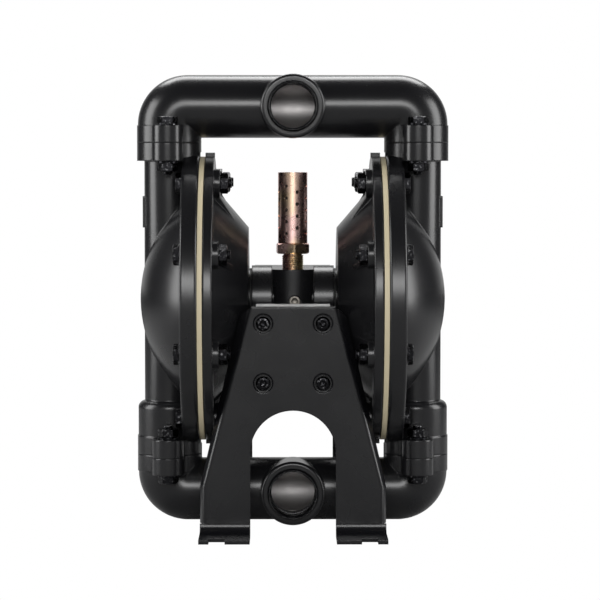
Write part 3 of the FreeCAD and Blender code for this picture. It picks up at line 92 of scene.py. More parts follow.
# Powder coat on rolled sheet: flat, even and a little duller than the castings
sheetPaint = {"name": "satin_black_powder_coat_on_steel_sheet", "color": "#0e0e11",
              "edge": 1.5, "edgeSamples": 6, "grain": 0.35, "relief": 0.012, "strength": 0.25,
              "cloud": 45, "detail": 2.0, "rough": (0.25, 0.29)}


def satinPaint(paint):
    # Grain is the relief of the metal under the paint, cloud is the slow drift of its gloss
    material, tree = newMaterial(paint["name"])
    place = addNode(tree, "ShaderNodeTexCoord")
    rounded = addNode(tree, "ShaderNodeBevel",
                      {"samples": paint["edgeSamples"], "Radius": paint["edge"] * mm})
    grain = addNode(tree, "ShaderNodeTexNoise",
                    {"Scale": 1 / (paint["grain"] * mm), "Detail": paint["detail"]},
                    {"Vector": place.outputs["Object"]})
    cloud = addNode(tree, "ShaderNodeTexNoise",
                    {"Scale": 1 / (paint["cloud"] * mm), "Detail": paint["detail"]},
                    {"Vector": place.outputs["Object"]})
    low, high = paint["rough"]
    rough = addNode(tree, "ShaderNodeMapRange", {**noiseSpan, "To Min": low, "To Max": high},
                    {"Value": cloud.outputs["Fac"]})
    bump = addNode(tree, "ShaderNodeBump",
                   {"Strength": paint["strength"], "Distance": paint["relief"] * mm},
                   {"Height": grain.outputs["Fac"], "Normal": rounded.outputs["Normal"]})
    shader = addNode(tree, "ShaderNodeBsdfPrincipled",
                     {"Base Color": hexColor(paint["color"]), "IOR": coatIor},
                     {"Roughness": rough.outputs["Result"], "Normal": bump.outputs["Normal"]})
    closeMaterial(tree, shader)
    return material


blackBolt = {"color": "#202022", "worn": "#c9c9cc", "edge": 0.5, "edgeSamples": 4, "cloud": 2.4,
             "detail": 4.0, "rough": (0.24, 0.36), "wearSpan": (0.56, 0.7), "wear": 0.3}


def blackOxideSteel():
    # Blackened bolts: dark metal with brighter rubbed spots that glint
    material, tree = newMaterial("black_oxide_steel")
    place = addNode(tree, "ShaderNodeTexCoord")
    rounded = addNode(tree, "ShaderNodeBevel",
                      {"samples": blackBolt["edgeSamples"], "Radius": blackBolt["edge"] * mm})
    cloud = addNode(tree, "ShaderNodeTexNoise",
                    {"Scale": 1 / (blackBolt["cloud"] * mm), "Detail": blackBolt["detail"]},
                    {"Vector": place.outputs["Object"]})
    first, last = blackBolt["wearSpan"]
    worn = addNode(tree, "ShaderNodeMapRange",
                   {"From Min": first, "From Max": last, "To Min": 0.0, "To Max": blackBolt["wear"]},
                   {"Value": cloud.outputs["Fac"]})
    color = addNode(tree, "ShaderNodeMix",  # inputs 6 and 7 are the two colours
                    {"data_type": "RGBA", 6: hexColor(blackBolt["color"]), 7: hexColor(blackBolt["worn"])},
                    {0: worn.outputs["Result"]})
    low, high = blackBolt["rough"]
    rough = addNode(tree, "ShaderNodeMapRange", {**noiseSpan, "To Min": low, "To Max": high},
                    {"Value": cloud.outputs["Fac"]})
    shader = addNode(tree, "ShaderNodeBsdfPrincipled", {"Metallic": 1.0},
                     {"Base Color": color.outputs[2], "Roughness": rough.outputs["Result"],
                      "Normal": rounded.outputs["Normal"]})
    closeMaterial(tree, shader)
    return material


# Each tint has its place on the ramp and its colour
yellowZinc = {"green": (0.26, "#dccf96"), "gold": (0.36, "#f8dcb4"), "rose": (0.47, "#fcd2ca"),
              "cloud": 34, "cloudDetail": 0.5, "distortion": 0.2, "fine": 6.0, "fineDetail": 1.0,
              "edge": 0.4, "edgeSamples": 4, "rough": (0.25, 0.31)}


def yellowZincPlatedSteel():
    # Yellow passivated zinc: gold that drifts to rose and green in wide clouds
    material, tree = newMaterial("yellow_zinc_plated_steel")
    place = addNode(tree, "ShaderNodeTexCoord")
    rounded = addNode(tree, "ShaderNodeBevel",
                      {"samples": yellowZinc["edgeSamples"], "Radius": yellowZinc["edge"] * mm})
    cloud = addNode(tree, "ShaderNodeTexNoise",
                    {"Scale": 1 / (yellowZinc["cloud"] * mm), "Detail": yellowZinc["cloudDetail"],
                     "Distortion": yellowZinc["distortion"]},
                    {"Vector": place.outputs["Object"]})
    tint = addNode(tree, "ShaderNodeValToRGB", None, {"Fac": cloud.outputs["Fac"]})
    stops = tint.color_ramp.elements
    stops[0].position, stops[0].color = yellowZinc["green"][0], hexColor(yellowZinc["green"][1])
    stops[1].position, stops[1].color = yellowZinc["rose"][0], hexColor(yellowZinc["rose"][1])
    stops.new(yellowZinc["gold"][0]).color = hexColor(yellowZinc["gold"][1])
    fine = addNode(tree, "ShaderNodeTexNoise",
                   {"Scale": 1 / (yellowZinc["fine"] * mm), "Detail": yellowZinc["fineDetail"]},
                   {"Vector": place.outputs["Object"]})
    low, high = yellowZinc["rough"]
    rough = addNode(tree, "ShaderNodeMapRange", {**noiseSpan, "To Min": low, "To Max": high},
                    {"Value": fine.outputs["Fac"]})
    shader = addNode(tree, "ShaderNodeBsdfPrincipled", {"Metallic": 1.0},
                     {"Base Color": tint.outputs["Color"], "Roughness": rough.outputs["Result"],
                      "Normal": rounded.outputs["Normal"]})
    closeMaterial(tree, shader)
    return material


bareEdge = {"radius": 0.4, "samples": 4, "detail": 3.0}


def bareMetal(name, color, rough, cloudMm):
    # Machined metal: clean highlights whose roughness drifts a little with the cut
    material, tree = newMaterial(name)
    place = addNode(tree, "ShaderNodeTexCoord")
    rounded = addNode(tree, "ShaderNodeBevel",
                      {"samples": bareEdge["samples"], "Radius": bareEdge["radius"] * mm})
    cloud = addNode(tree, "ShaderNodeTexNoise", {"Scale": 1 / (cloudMm * mm), "Detail": bareEdge["detail"]},
                    {"Vector": place.outputs["Object"]})
    level = addNode(tree, "ShaderNodeMapRange", {**noiseSpan, "To Min": rough[0], "To Max": rough[1]},
                    {"Value": cloud.outputs["Fac"]})
    shader = addNode(tree, "ShaderNodeBsdfPrincipled", {"Base Color": hexColor(color), "Metallic": 1.0},
                     {"Roughness": level.outputs["Result"], "Normal": rounded.outputs["Normal"]})
    closeMaterial(tree, shader)
    return material


softGrain = {"strength": 0.4, "detail": 3.0}


def softStuff(name, color, rough, grainMm, reliefMm):
    # Moulded or pressed stuff: matte, with the grain of its mould or fibre
    material, tree = newMaterial(name)
    place = addNode(tree, "ShaderNodeTexCoord")
    grain = addNode(tree, "ShaderNodeTexNoise", {"Scale": 1 / (grainMm * mm), "Detail": softGrain["detail"]},
                    {"Vector": place.outputs["Object"]})
    level = addNode(tree, "ShaderNodeMapRange", {**noiseSpan, "To Min": rough[0], "To Max": rough[1]},
                    {"Value": grain.outputs["Fac"]})
    bump = addNode(tree, "ShaderNodeBump", {"Strength": softGrain["strength"], "Distance": reliefMm * mm},
                   {"Height": grain.outputs["Fac"]})
    shader = addNode(tree, "ShaderNodeBsdfPrincipled", {"Base Color": hexColor(color), "IOR": coatIor},
                     {"Roughness": level.outputs["Result"], "Normal": bump.outputs["Normal"]})
    closeMaterial(tree, shader)
    return material


finishes = {
    "cast_paint": satinPaint(castPaint),
    "sheet_paint": satinPaint(sheetPaint),
    "black_steel": blackOxideSteel(),
    "plain_steel": bareMetal("turned_steel", "#b4b4b6", (0.20, 0.32), 4.0),
    "plated_steel": yellowZincPlatedSteel(),
    "disc_rubber": softStuff("tan_moulded_rubber", "#dccfae", (0.45, 0.6), 1.2, 0.05),
    "seal_rubber": softStuff("black_sealing_rubber", "#161616", (0.5, 0.6), 1.0, 0.03),
    "plate_metal": bareMetal("machined_aluminium", "#c4c6c8", (0.25, 0.35), 5.0),
    "valve_plastic": softStuff("moulded_valve_plastic", "#1b1b1c", (0.4, 0.5), 1.0, 0.02),
    "ball_plastic": softStuff("white_fluoropolymer", "#e9e7df", (0.3, 0.4), 2.0, 0.01),
    "bush_bronze": bareMetal("sintered_bronze", "#a9823f", (0.4, 0.5), 1.0),
    "felt": softStuff("pressed_felt", "#2c2723", (0.9, 1.0), 0.8, 0.3),
}

slotOf = {row["node"]: row["material_slot"] for row in frame["record"]["subparts"]}
for name, node in nodes.items():
    node.data.materials.clear()
    node.data.materials.append(finishes[slotOf[name]])
print("finishes set")


def islandsOf(name):  # box of each separate solid of a CAD node, as lowest and highest corner
    shape = bmesh.new()
    shape.from_mesh(nodes[name].data)
    bmesh.ops.remove_doubles(shape, verts=shape.verts, dist=1e-6)
    seen = set()
    boxes = []
    for start in shape.verts:
        if start in seen:
            continue
        group, waiting = [], [start]
        seen.add(start)
        while waiting:
            vert = waiting.pop()
            group.append(vert.co)
            for edge in vert.link_edges:
                other = edge.other_vert(vert)
                if other not in seen:
                    seen.add(other)
                    waiting.append(other)
        low = Vector([min(p[i] for p in group) for i in range(3)])
        high = Vector([max(p[i] for p in group) for i in range(3)])
        boxes.append((low, high))
    shape.free()
    return boxes


def sideOf(box, axis):  # which side of the middle a box lies on
    return 1 if box[0][axis] + box[1][axis] > 0 else -1


def facing(axis, place):  # matrix with its Z along an axis and its origin at a place
    return Matrix.Translation(place) @ Vector(axis).to_track_quat("Z", "Y").to_matrix().to_4x4()


def ringRows(shape, rings, turn, segments):  # a row of vertices per ring, which gives (radius, height)
    rows = []
    for ring in rings:
        row = []
        for k in range(segments):
            angle = 2 * math.pi * k / segments
            radius, height = ring(angle)
            place = Vector((radius * math.cos(angle), radius * math.sin(angle), height))
            row.append(shape.verts.new(turn @ place))
        rows.append(row)
    return rows


def joinRows(shape, first, second):  # faces between two closed rows of the same length
    for k in range(len(first)):
        following = (k + 1) % len(first)
        shape.faces.new((first[k], first[following], second[following], second[k]))


def addRings(shape, rings, turn, segments):  # solid through rings, flat at both ends
    rows = ringRows(shape, rings, turn, segments)
    for first, second in zip(rows, rows[1:]):
        joinRows(shape, first, second)
    shape.faces.new(list(reversed(rows[0])))
    shape.faces.new(rows[-1])


def addBand(shape, rings, turn, segments):  # hollow band through rings, the last joined to the first
    rows = ringRows(shape, rings, turn, segments)
    for first, second in zip(rows, rows[1:] + rows[:1]):
        joinRows(shape, first, second)


sharpAngle = math.radians(35)


def makePiece(name, shape, slot, body, finish=None):
    mesh = bpy.data.meshes.new(name)
    bmesh.ops.recalc_face_normals(shape, faces=shape.faces)
    for face in shape.faces:
        face.smooth = True
    for edge in shape.edges:
        edge.smooth = edge.is_manifold and edge.calc_face_angle(math.pi) < sharpAngle
    shape.to_mesh(mesh)
    shape.free()
    piece = bpy.data.objects.new(name, mesh)
    bpy.context.scene.collection.objects.link(piece)
    mesh.materials.append(finish or finishes[slot])
    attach(piece, body)
    return piece


def hexRadius(flats, first):  # radius of a hexagon at an angle
    sixth = math.pi / 3

    def radius(angle):
        turned = (angle - first) % sixth - sixth / 2
        return flats / 2 / math.cos(turned)
    return radius


hexShape = {"segments": 48, "chamfer": 0.58, "crown": 0.95}


def addHexBlock(shape, turn, flats, low, high, first, bothEnds):
    # Hexagon with the turned chamfer that a bolt head or a nut has
    edge = hexRadius(flats, first)
    inner = flats / 2 * hexShape["crown"]

    def drop(angle):
        return (edge(angle) - inner) * hexShape["chamfer"]
    rings = [lambda a: (inner, high), lambda a: (edge(a), high - drop(a)), lambda a: (edge(a), low)]
    if bothEnds:
        rings[2:] = [lambda a: (edge(a), low + drop(a)), lambda a: (inner, low)]
    addRings(shape, rings, turn, hexShape["segments"])


def threadWave(turns):  # depth of a thread as a share, from the turns along it
    return abs((turns % 1.0) - 0.5) * 2


threadShape = {"segments": 24, "stepsPerTurn": 4}


def addThread(shape, turn, radius, low, high, pitch, depth):  # threaded rod that narrows at its end
    steps = max(2, round((high - low) / pitch * threadShape["stepsPerTurn"]))
    rings = []
    for step in range(steps + 1):
        height = low + (high - low) * step / steps
        fade = min(1.0, (high - height) / pitch)

        def ring(angle, height=height, fade=fade):
            wave = threadWave(height / pitch - angle / (2 * math.pi))
            return (radius - depth * wave * fade - (1 - fade) * depth, height)
        rings.append(ring)
    addRings(shape, rings, turn, threadShape["segments"])


boltSizes = {"flats": 17.0, "radius": 5.0, "pitch": 1.5, "thread": 0.75, "flange": 10.4,
             "flangeHeight": 1.6, "head": 6.4, "hexFirst": math.radians(30)}
flangeSection = ((0.8, 1.0), (0.96, 0.55), (1.0, 0.3), (1.0, 0.0))  # shares of radius and of height


def addFlange(shape, turn, seat):  # pressed washer face under a bolt head
    radius, height = boltSizes["flange"] * mm, boltSizes["flangeHeight"] * mm
    spots = [(radius * across, seat + height * up) for across, up in flangeSection]
    addRings(shape, [lambda a, spot=spot: spot for spot in spots], turn, hexShape["segments"])


def addShank(shape, turn, low, high):  # threaded shank of a cover bolt or a manifold bolt
    addThread(shape, turn, boltSizes["radius"] * mm, low, high, boltSizes["pitch"] * mm,
              boltSizes["thread"] * mm)


def coverBolts():
    # Flanged hexagon heads on the outside of the rims, threaded ends inside
    shape = bmesh.new()
    for low, high in islandsOf("cover_bolts"):
        side = sideOf((low, high), 0)
        centre = (low + high) / 2
        inner, outer = sorted((abs(low.x), abs(high.x)))
        seat = outer - boltSizes["head"] * mm
        out = facing((side, 0, 0), (0, centre.y, centre.z))
        addFlange(shape, out, seat)
        addHexBlock(shape, out, boltSizes["flats"] * mm, seat + boltSizes["flangeHeight"] * mm / 2, outer,
                    boltSizes["hexFirst"], False)
        addShank(shape, facing((-side, 0, 0), (0, centre.y, centre.z)), -seat, -inner)
    piece = makePiece("cover_bolts_threaded", shape, "black_steel", "pump_frame")
    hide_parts("cover_bolts")


def coverNuts():
    shape = bmesh.new()
    for low, high in islandsOf("cover_nuts"):
        side = sideOf((low, high), 0)
        centre = (low + high) / 2
        inner, outer = sorted((abs(low.x), abs(high.x)))
        turn = facing((side, 0, 0), (0, centre.y, centre.z))
        addHexBlock(shape, turn, boltSizes["flats"] * mm, inner, outer, boltSizes["hexFirst"], True)
    piece = makePiece("cover_nuts_chamfered", shape, "black_steel", "pump_frame")
    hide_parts("cover_nuts")


def manifoldBolts():
    # Upright bolts through the flange ears: heads on the manifolds, nuts on the covers
    middle = (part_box("center_body")[0].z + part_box("center_body")[1].z) / 2
    shape = bmesh.new()
    for low, high in islandsOf("manifold_bolts"):
        side = 1 if low.z > middle else -1
        centre = (low + high) / 2
        inner, outer = (low.z, high.z) if side > 0 else (-high.z, -low.z)
        seat = outer - boltSizes["head"] * mm
        out = facing((0, 0, side), (centre.x, centre.y, 0))
        addHexBlock(shape, out, boltSizes["flats"] * mm, seat, outer, 0, False)
        addShank(shape, facing((0, 0, -side), (centre.x, centre.y, 0)), -seat, -inner)
    piece = makePiece("manifold_bolts_threaded", shape, "black_steel", "pump_frame")
    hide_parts("manifold_bolts")


def manifoldNuts():
    shape = bmesh.new()
    for low, high in islandsOf("manifold_nuts"):
        centre = (low + high) / 2
        turn = facing((0, 0, 1), (centre.x, centre.y, 0))
        addHexBlock(shape, turn, boltSizes["flats"] * mm, low.z, high.z, 0, True)
    piece = makePiece("manifold_nuts_chamfered", shape, "black_steel", "pump_frame")
    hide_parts("manifold_nuts")


bracketScrew = {"head": 7.0, "height": 4.4, "shank": 4.0, "flat": 0.62, "wall": 0.3, "arcSteps": 6,
                "socketFlats": 5.4, "socketDepth": 2.6, "lip": 0.4, "lipDepth": 0.5, "tip": 0.5,
                "tipDepth": 3.25}


def bracketScrews():
    # Button heads with a hexagon socket, sunk in the dished holes of the brackets
    head, height, shank = (bracketScrew[key] * mm for key in ("head", "height", "shank"))
    flat, wall, tip = (bracketScrew[key] for key in ("flat", "wall", "tip"))  # shares of the sizes
    deep, lip, lipDepth, tipDepth = (bracketScrew[key] * mm
                                     for key in ("socketDepth", "lip", "lipDepth", "tipDepth"))
    socket = hexRadius(bracketScrew["socketFlats"] * mm, 0)
    shape = bmesh.new()
    for low, high in islandsOf("support_screws"):
        side = sideOf((low, high), 1)
        centre = (low + high) / 2
        inner, top = sorted((abs(low.y), abs(high.y)))
        seat = top - height
        rings = [lambda a: (socket(a) * tip, top - tipDepth), lambda a: (socket(a), top - deep),
                 lambda a: (socket(a), top - lipDepth), lambda a: (socket(a) + lip, top)]
        spots = []
        for step in range(bracketScrew["arcSteps"] + 1):
            lean = math.pi / 2 * step / bracketScrew["arcSteps"]
            spots.append((head * (flat + (1 - flat) * math.sin(lean)),
                          seat + height * (wall + (1 - wall) * math.cos(lean))))
        spots += [(head, seat), (shank, seat), (shank, inner)]
        rings += [lambda a, spot=spot: spot for spot in spots]
        addRings(shape, rings, facing((0, side, 0), (centre.x, 0, centre.z)), hexShape["segments"])
    piece = makePiece("bracket_screws_socketed", shape, "black_steel", "pump_frame")
    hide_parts("support_screws")


mufflerNeck = {"hexHeight": 10.4, "flats": 30.0, "hexFirst": math.radians(-84), "thread": 10.45,
               "pitch": 1.81, "depth": 0.8, "threadGap": 1.5, "collar": 8.9, "collarUp": 1.0,
               "collarDown": 2.0, "collarSegments": 40}


def mufflerFoot():
    # Pipe thread, plain undercut and chamfered hexagon of the muffler
    low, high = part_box("muffler_base")
    across, along = (low.x + high.x) / 2, (low.y + high.y) / 2
    seat = high.z - mufflerNeck["hexHeight"] * mm
    shape = bmesh.new()
    turn = facing((0, 0, 1), (across, along, 0))
    addHexBlock(shape, turn, mufflerNeck["flats"] * mm, seat, high.z, mufflerNeck["hexFirst"], True)
    collar = mufflerNeck["collar"] * mm
    ends = (seat + mufflerNeck["collarUp"] * mm, seat - mufflerNeck["collarDown"] * mm)
    addRings(shape, [lambda a, end=end: (collar, end) for end in ends], turn, mufflerNeck["collarSegments"])
    down = facing((0, 0, -1), (across, along, 0))
    addThread(shape, down, mufflerNeck["thread"] * mm, mufflerNeck["threadGap"] * mm - seat, -low.z,
              mufflerNeck["pitch"] * mm, mufflerNeck["depth"] * mm)
    piece = makePiece("muffler_base_threaded", shape, "plated_steel", "pump_frame")
    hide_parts("muffler_base")


# The skin is a grid with "across" cells per column and per pitch; "block" is half the side of the
# square of cells that a round hole takes the place of
tubeShape = {"columns": 8, "across": 12, "pitch": 11.4, "rows": 5, "firstLevel": 14, "hole": 1.75,
             "wall": 1.6, "start": math.radians(-27.0), "block": 2}


def mufflerTube():
    # Perforated tube: every second column of holes starts half a pitch lower and has one hole less
    low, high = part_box("muffler_tube")
    radius = (high.x - low.x) / 2
    centre = (low + high) / 2
    across = tubeShape["across"]
    around = across * tubeShape["columns"]
    step = tubeShape["pitch"] * mm / across
    hole = tubeShape["hole"] * mm
    levels = [high.z - k * step for k in range(int((high.z - low.z) / step) + 1)] + [low.z]
    holes = []
    for column in range(tubeShape["columns"]):
        late = column % 2
        for row in range(tubeShape["rows"] - late):
            holes.append((column * across, tubeShape["firstLevel"] + across * row + across // 2 * late))
    reach = tubeShape["block"]
    side = range(-reach, reach)
    frameOf = [(k, -reach) for k in side] + [(reach, k) for k in side]
    frameOf += [(-k, reach) for k in side] + [(-reach, -k) for k in side]
    shape = bmesh.new()

    def spot(size, column, level, right=0.0, down=0.0):  # vertex of a skin, moved along it by two lengths
        angle = tubeShape["start"] + 2 * math.pi * column / around + right / radius
        return shape.verts.new((centre.x + size * math.sin(angle), centre.y - size * math.cos(angle),
                                levels[level] - down))
    skins = []
    for size in (radius, radius - tubeShape["wall"] * mm):
        grid = [[spot(size, column, level) for column in range(around)] for level in range(len(levels))]
        cut = {((column + a) % around, level + b) for column, level in holes for a in side for b in side}
        for level in range(len(levels) - 1):
            for column in range(around):
                if (column, level) not in cut:
                    following = (column + 1) % around
                    shape.faces.new((grid[level][column], grid[level][following],
                                     grid[level + 1][following], grid[level + 1][column]))
        rims = []
        for column, level in holes:
            border = [grid[level + b][(column + a) % around] for a, b in frameOf]
            rim = []
            for a, b in frameOf:
                lean = math.atan2(b, a)
                rim.append(spot(size, column, level, hole * math.cos(lean), hole * math.sin(lean)))
            joinRows(shape, border, rim)
            rims.append(rim)
        skins.append((grid, rims))
    (outer, outerRims), (inner, innerRims) = skins
    for first, second in zip(outerRims + [outer[0], outer[-1]], innerRims + [inner[0], inner[-1]]):
        joinRows(shape, first, second)
    loose = [vert for vert in shape.verts if not vert.link_faces]
    bmesh.ops.delete(shape, geom=loose, context="VERTS")
    piece = makePiece("muffler_tube_drilled", shape, "plated_steel", "pump_frame")
    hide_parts("muffler_tube")


plugShape = {"socketFlats": 5.2, "rim": 0.6, "depth": 2.8, "tipShare": 0.4,
             "color": "#8d8880", "rough": (0.42, 0.52), "cloud": 1.0}


def bodyPlug():
    # Small plated plug with a hexagon socket, dull as the photograph shows it
    low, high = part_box("body_plug")
    radius = (high.x - low.x) / 2
    front, back = -low.y, -high.y
    socket = hexRadius(plugShape["socketFlats"] * mm, 0)
    rim = plugShape["rim"] * mm
    deep = front - plugShape["depth"] * mm
    rings = [lambda a: (socket(a) * plugShape["tipShare"], deep - rim), lambda a: (socket(a), deep),
             lambda a: (socket(a), front - rim), lambda a: (socket(a) + rim, front),
             lambda a: (radius - rim, front), lambda a: (radius, front - rim), lambda a: (radius, back)]
    shape = bmesh.new()
    turn = facing((0, -1, 0), ((low.x + high.x) / 2, 0, (low.z + high.z) / 2))
    addRings(shape, rings, turn, hexShape["segments"])
    dull = bareMetal("dull_zinc_plated_steel", plugShape["color"], plugShape["rough"], plugShape["cloud"])
    piece = makePiece("body_plug_socketed", shape, "plain_steel", "pump_frame", dull)
    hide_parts("body_plug")


def portCentre(name):
    mounts = frame["record"]["mounts"]
    return Vector(next(mount["pos_m"] for mount in mounts if mount["name"] == name + "_port"))


portThread = {"radius": 22.4, "depth": 1.1, "pitch": 2.31, "length": 16.0, "lead": 1.6, "runIn": 0.25,
              "segments": 96, "stepsPerTurn": 6, "wall": 0.4}


def portThreads():
    # Helical pipe thread in the mouth of each port, at full depth after "runIn" of its length
    for name, place in (("outlet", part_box("upper_manifold")), ("inlet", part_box("lower_manifold"))):
        centre = portCentre(name)
        outer = -place[0].y - portThread["lead"] * mm
        length = portThread["length"] * mm
        steps = round(portThread["length"] / portThread["pitch"] * portThread["stepsPerTurn"])
        radius = portThread["radius"] * mm
        rings = []
        for step in range(steps + 1):
            level = outer - length * step / steps
            fade = min(1.0, step / steps / portThread["runIn"])

            def ring(angle, level=level, fade=fade):
                wave = threadWave(level / (portThread["pitch"] * mm) - angle / (2 * math.pi))
                return (radius - portThread["depth"] * mm * wave * fade, level)
            rings.append(ring)
        outside = radius + portThread["wall"] * mm
        rows = [lambda a: (outside, outer - length)] + rings[::-1] + [lambda a: (outside, outer)]
        shape = bmesh.new()
        addBand(shape, rows, facing((0, -1, 0), (centre.x, 0, centre.z)), portThread["segments"])
        makePiece(name + "_port_thread", shape, "cast_paint", "pump_frame")


portLining = {"bore": 23.5, "half": 40.0, "spread": math.radians(80), "steps": 28, "gap": 0.15, "wall": 0.5,
              "color": "#b9b6b5", "rough": (0.46, 0.52), "cloud": 8.0}


def portLinings():
    # Bare blasted wall at the back of each tube, as seen through the port: dull grey with one wide glow
    blasted = bareMetal("sand_blasted_aluminium", portLining["color"], portLining["rough"],
                        portLining["cloud"])
    steps = portLining["steps"]
    outer = (portLining["bore"] - portLining["gap"]) * mm
    inner = outer - portLining["wall"] * mm
    for name in ("outlet", "inlet"):
        centre = portCentre(name)
        shape = bmesh.new()
        loops = []
        for x in (-portLining["half"] * mm, portLining["half"] * mm):
            loop = []
            for size, order in ((outer, range(steps + 1)), (inner, range(steps, -1, -1))):
                for k in order:
                    angle = portLining["spread"] * (2 * k / steps - 1)
                    loop.append(shape.verts.new((centre.x + x, size * math.cos(angle),
                                                 centre.z + size * math.sin(angle))))
            loops.append(loop)
        joinRows(shape, loops[0], loops[1])
        for loop in loops:
            for k in range(steps):
                shape.faces.new((loop[k], loop[k + 1], loop[-2 - k], loop[-1 - k]))
        makePiece(name + "_port_lining", shape, "plate_metal", "pump_frame", blasted)


armTop = {"half": 34.8, "front": 84.0, "back": 43.0, "above": 1.12, "thick": 0.1,
          "color": "#d2d2d2", "rough": (0.42, 0.55), "cloud": 3.0}


def armTopFace():
    # Machined top of the body arm, the bright line over the front bracket
    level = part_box("front_support")[1].z + armTop["above"] * mm
    half, front, back = (armTop[key] * mm for key in ("half", "front", "back"))
    corners = [(-half, -front), (half, -front), (half, -back), (-half, -back)]
    shape = bmesh.new()
    rows = [[shape.verts.new((x, y, level + up)) for x, y in corners] for up in (0.0, armTop["thick"] * mm)]
    joinRows(shape, rows[0], rows[1])
    shape.faces.new(list(reversed(rows[0])))
    shape.faces.new(rows[1])
    milled = bareMetal("milled_aluminium", armTop["color"], armTop["rough"], armTop["cloud"])
    makePiece("arm_top_face", shape, "plate_metal", "pump_frame", milled)


# The edges slant from "shoulder" to the top; "drop", "arch" and "screws" are measured down from the
# shaft axis; "run" is the reach of the rounding at a fold, "outerRun" and "innerRun" along the lip
bracketSheet = {"axis": 219.5, "back": 85.0, "sheet": 4.0, "legOuter": 87.6, "legInner": 40.2,
                "shoulder": 46.1, "slant": 0.23136, "corner": 8.0, "lip": 10.0, "foldTop": 8.0,
                "foldLow": 3.0, "run": 4.0, "outerRun": 3.2, "innerRun": 0.8, "foldSteps": 6,
                "levels": 10, "levelGap": 1.0, "archSteps": 36, "bend": 12.0, "bendSteps": 12,
                "reach": 140.0, "notch": 70.8, "notchHalf": 7.5, "notchDeep": 15.0, "screwX": 28.0,
                "dish": 9.5, "dishFloor": 8.5, "dishDeep": 1.0, "hole": 4.5, "holeSteps": 32}
bracketPlaces = {"front_support": {"side": -1, "drop": 4.4, "arch": 141.0, "screws": (19.1, 75.0)},
                 "rear_support": {"side": 1, "drop": 56.0, "arch": 129.5, "screws": (75.0,)}}


def foldSection(width):
    # Section of a folded edge as an outer and an inner chain of (offset from the edge, depth)
    lip, thick = bracketSheet["lip"], bracketSheet["sheet"]
    length = math.hypot(width, lip)
    along = Vector((width / length, lip / length))
    back = thick * length / lip
    outer = (Vector((-width, 0)), Vector((0, lip)), bracketSheet["outerRun"])
    inner = (Vector((-back - width * (lip - thick) / lip, thick)), Vector((-back, lip)),
             bracketSheet["innerRun"])
    chains = []
    for corner, tip, run in (outer, inner):
        first = Vector((-width - bracketSheet["run"], corner.y))
        last = corner + along * run
        chain = []
        for step in range(bracketSheet["foldSteps"] + 1):
            t = step / bracketSheet["foldSteps"]
            chain.append(first * (1 - t) ** 2 + corner * 2 * t * (1 - t) + last * t * t)
        chains.append(chain + [tip])
    return chains


def addFoldedEdge(shape, spot, hand, top):  # folded edge of one side; gives its rows of two chains each
    size = bracketSheet
    half = size["legOuter"] - (top - size["shoulder"]) * size["slant"]
    highest = top - size["corner"] - size["run"] - size["levelGap"]
    levels = [size["bend"]]
    for step in range(size["levels"] + 1):
        levels.append(size["shoulder"] + (highest - size["shoulder"]) * step / size["levels"])
    rows = []
    for level in levels + [top]:
        share = max(level - size["shoulder"], 0) / (top - size["shoulder"])
        chains = []
        for chain in foldSection(size["foldLow"] + (size["foldTop"] - size["foldLow"]) * share):
            verts = []
            for across, depth in chain:
                z = level if level < top else top - max(0, across + size["corner"])
                x = half + across + (top - max(z, size["shoulder"])) * size["slant"]
                verts.append(spot(hand * x, depth, z))
            chains.append(verts)
        rows.append(chains)
    for below, above in zip(rows, rows[1:]):
        for low, high in zip(below, above):
            for k in range(len(low) - 1):
                shape.faces.new((low[k], low[k + 1], high[k + 1], high[k]))
        shape.faces.new((below[0][-1], below[1][-1], above[1][-1], above[0][-1]))
    for outer, inner in (rows[0], rows[-1]):
        for k in range(len(outer) - 1):
            shape.faces.new((outer[k], outer[k + 1], inner[k + 1], inner[k]))
    return rows


def addScrewHole(shape, spot, x, z):  # dished hole; gives its rim on the front and on the back
    size = bracketSheet
    rings = []
    for radius, depth in ((size["dish"], 0.0), (size["dishFloor"], size["dishDeep"]),
                          (size["hole"], size["dishDeep"]), (size["hole"], size["sheet"])):
        ring = []
        for step in range(size["holeSteps"]):
            angle = 2 * math.pi * step / size["holeSteps"]
            ring.append(spot(x + radius * math.cos(angle), depth, z + radius * math.sin(angle)))
        rings.append(ring)
    for first, second in zip(rings, rings[1:]):
        joinRows(shape, first, second)
    return rings[0], rings[-1]


def addFoot(shape, spot, hand):  # bend and foot of one leg, with its open slot
    size = bracketSheet
    bend, thick = size["bend"], size["sheet"]
    columns = (size["legInner"], size["notch"] - size["notchHalf"], size["notch"] + size["notchHalf"],
               size["legOuter"])
    skins = []
    for radius, floor in ((bend - thick, thick), (bend, 0.0)):
        line = []
        for step in range(size["bendSteps"] + 1):
            lean = math.pi / 2 * step / size["bendSteps"]
            line.append((size["back"] + bend - radius * math.cos(lean), bend - radius * math.sin(lean)))
        line += [(size["reach"] - size["notchDeep"], floor), (size["reach"], floor)]
        skins.append([[spot(hand * x, size["back"] + thick - y, z) for x in columns] for y, z in line])
    lastRow = size["bendSteps"] + 1
    cells = [(row, column) for row in range(lastRow + 1) for column in range(3)]
    cells.remove((lastRow, 1))
    for row, column in cells:
        corners = [(row, column), (row, column + 1), (row + 1, column + 1), (row + 1, column)]
        for skin in skins:
            shape.faces.new([skin[a][b] for a, b in corners])
        beside = [(row - 1, column), (row, column + 1), (row + 1, column), (row, column - 1)]
        for k, cell in enumerate(beside):
            if cell not in cells:
                (a, b), (c, d) = corners[k], corners[(k + 1) % 4]
                shape.faces.new((skins[0][a][b], skins[0][c][d], skins[1][c][d], skins[1][a][b]))


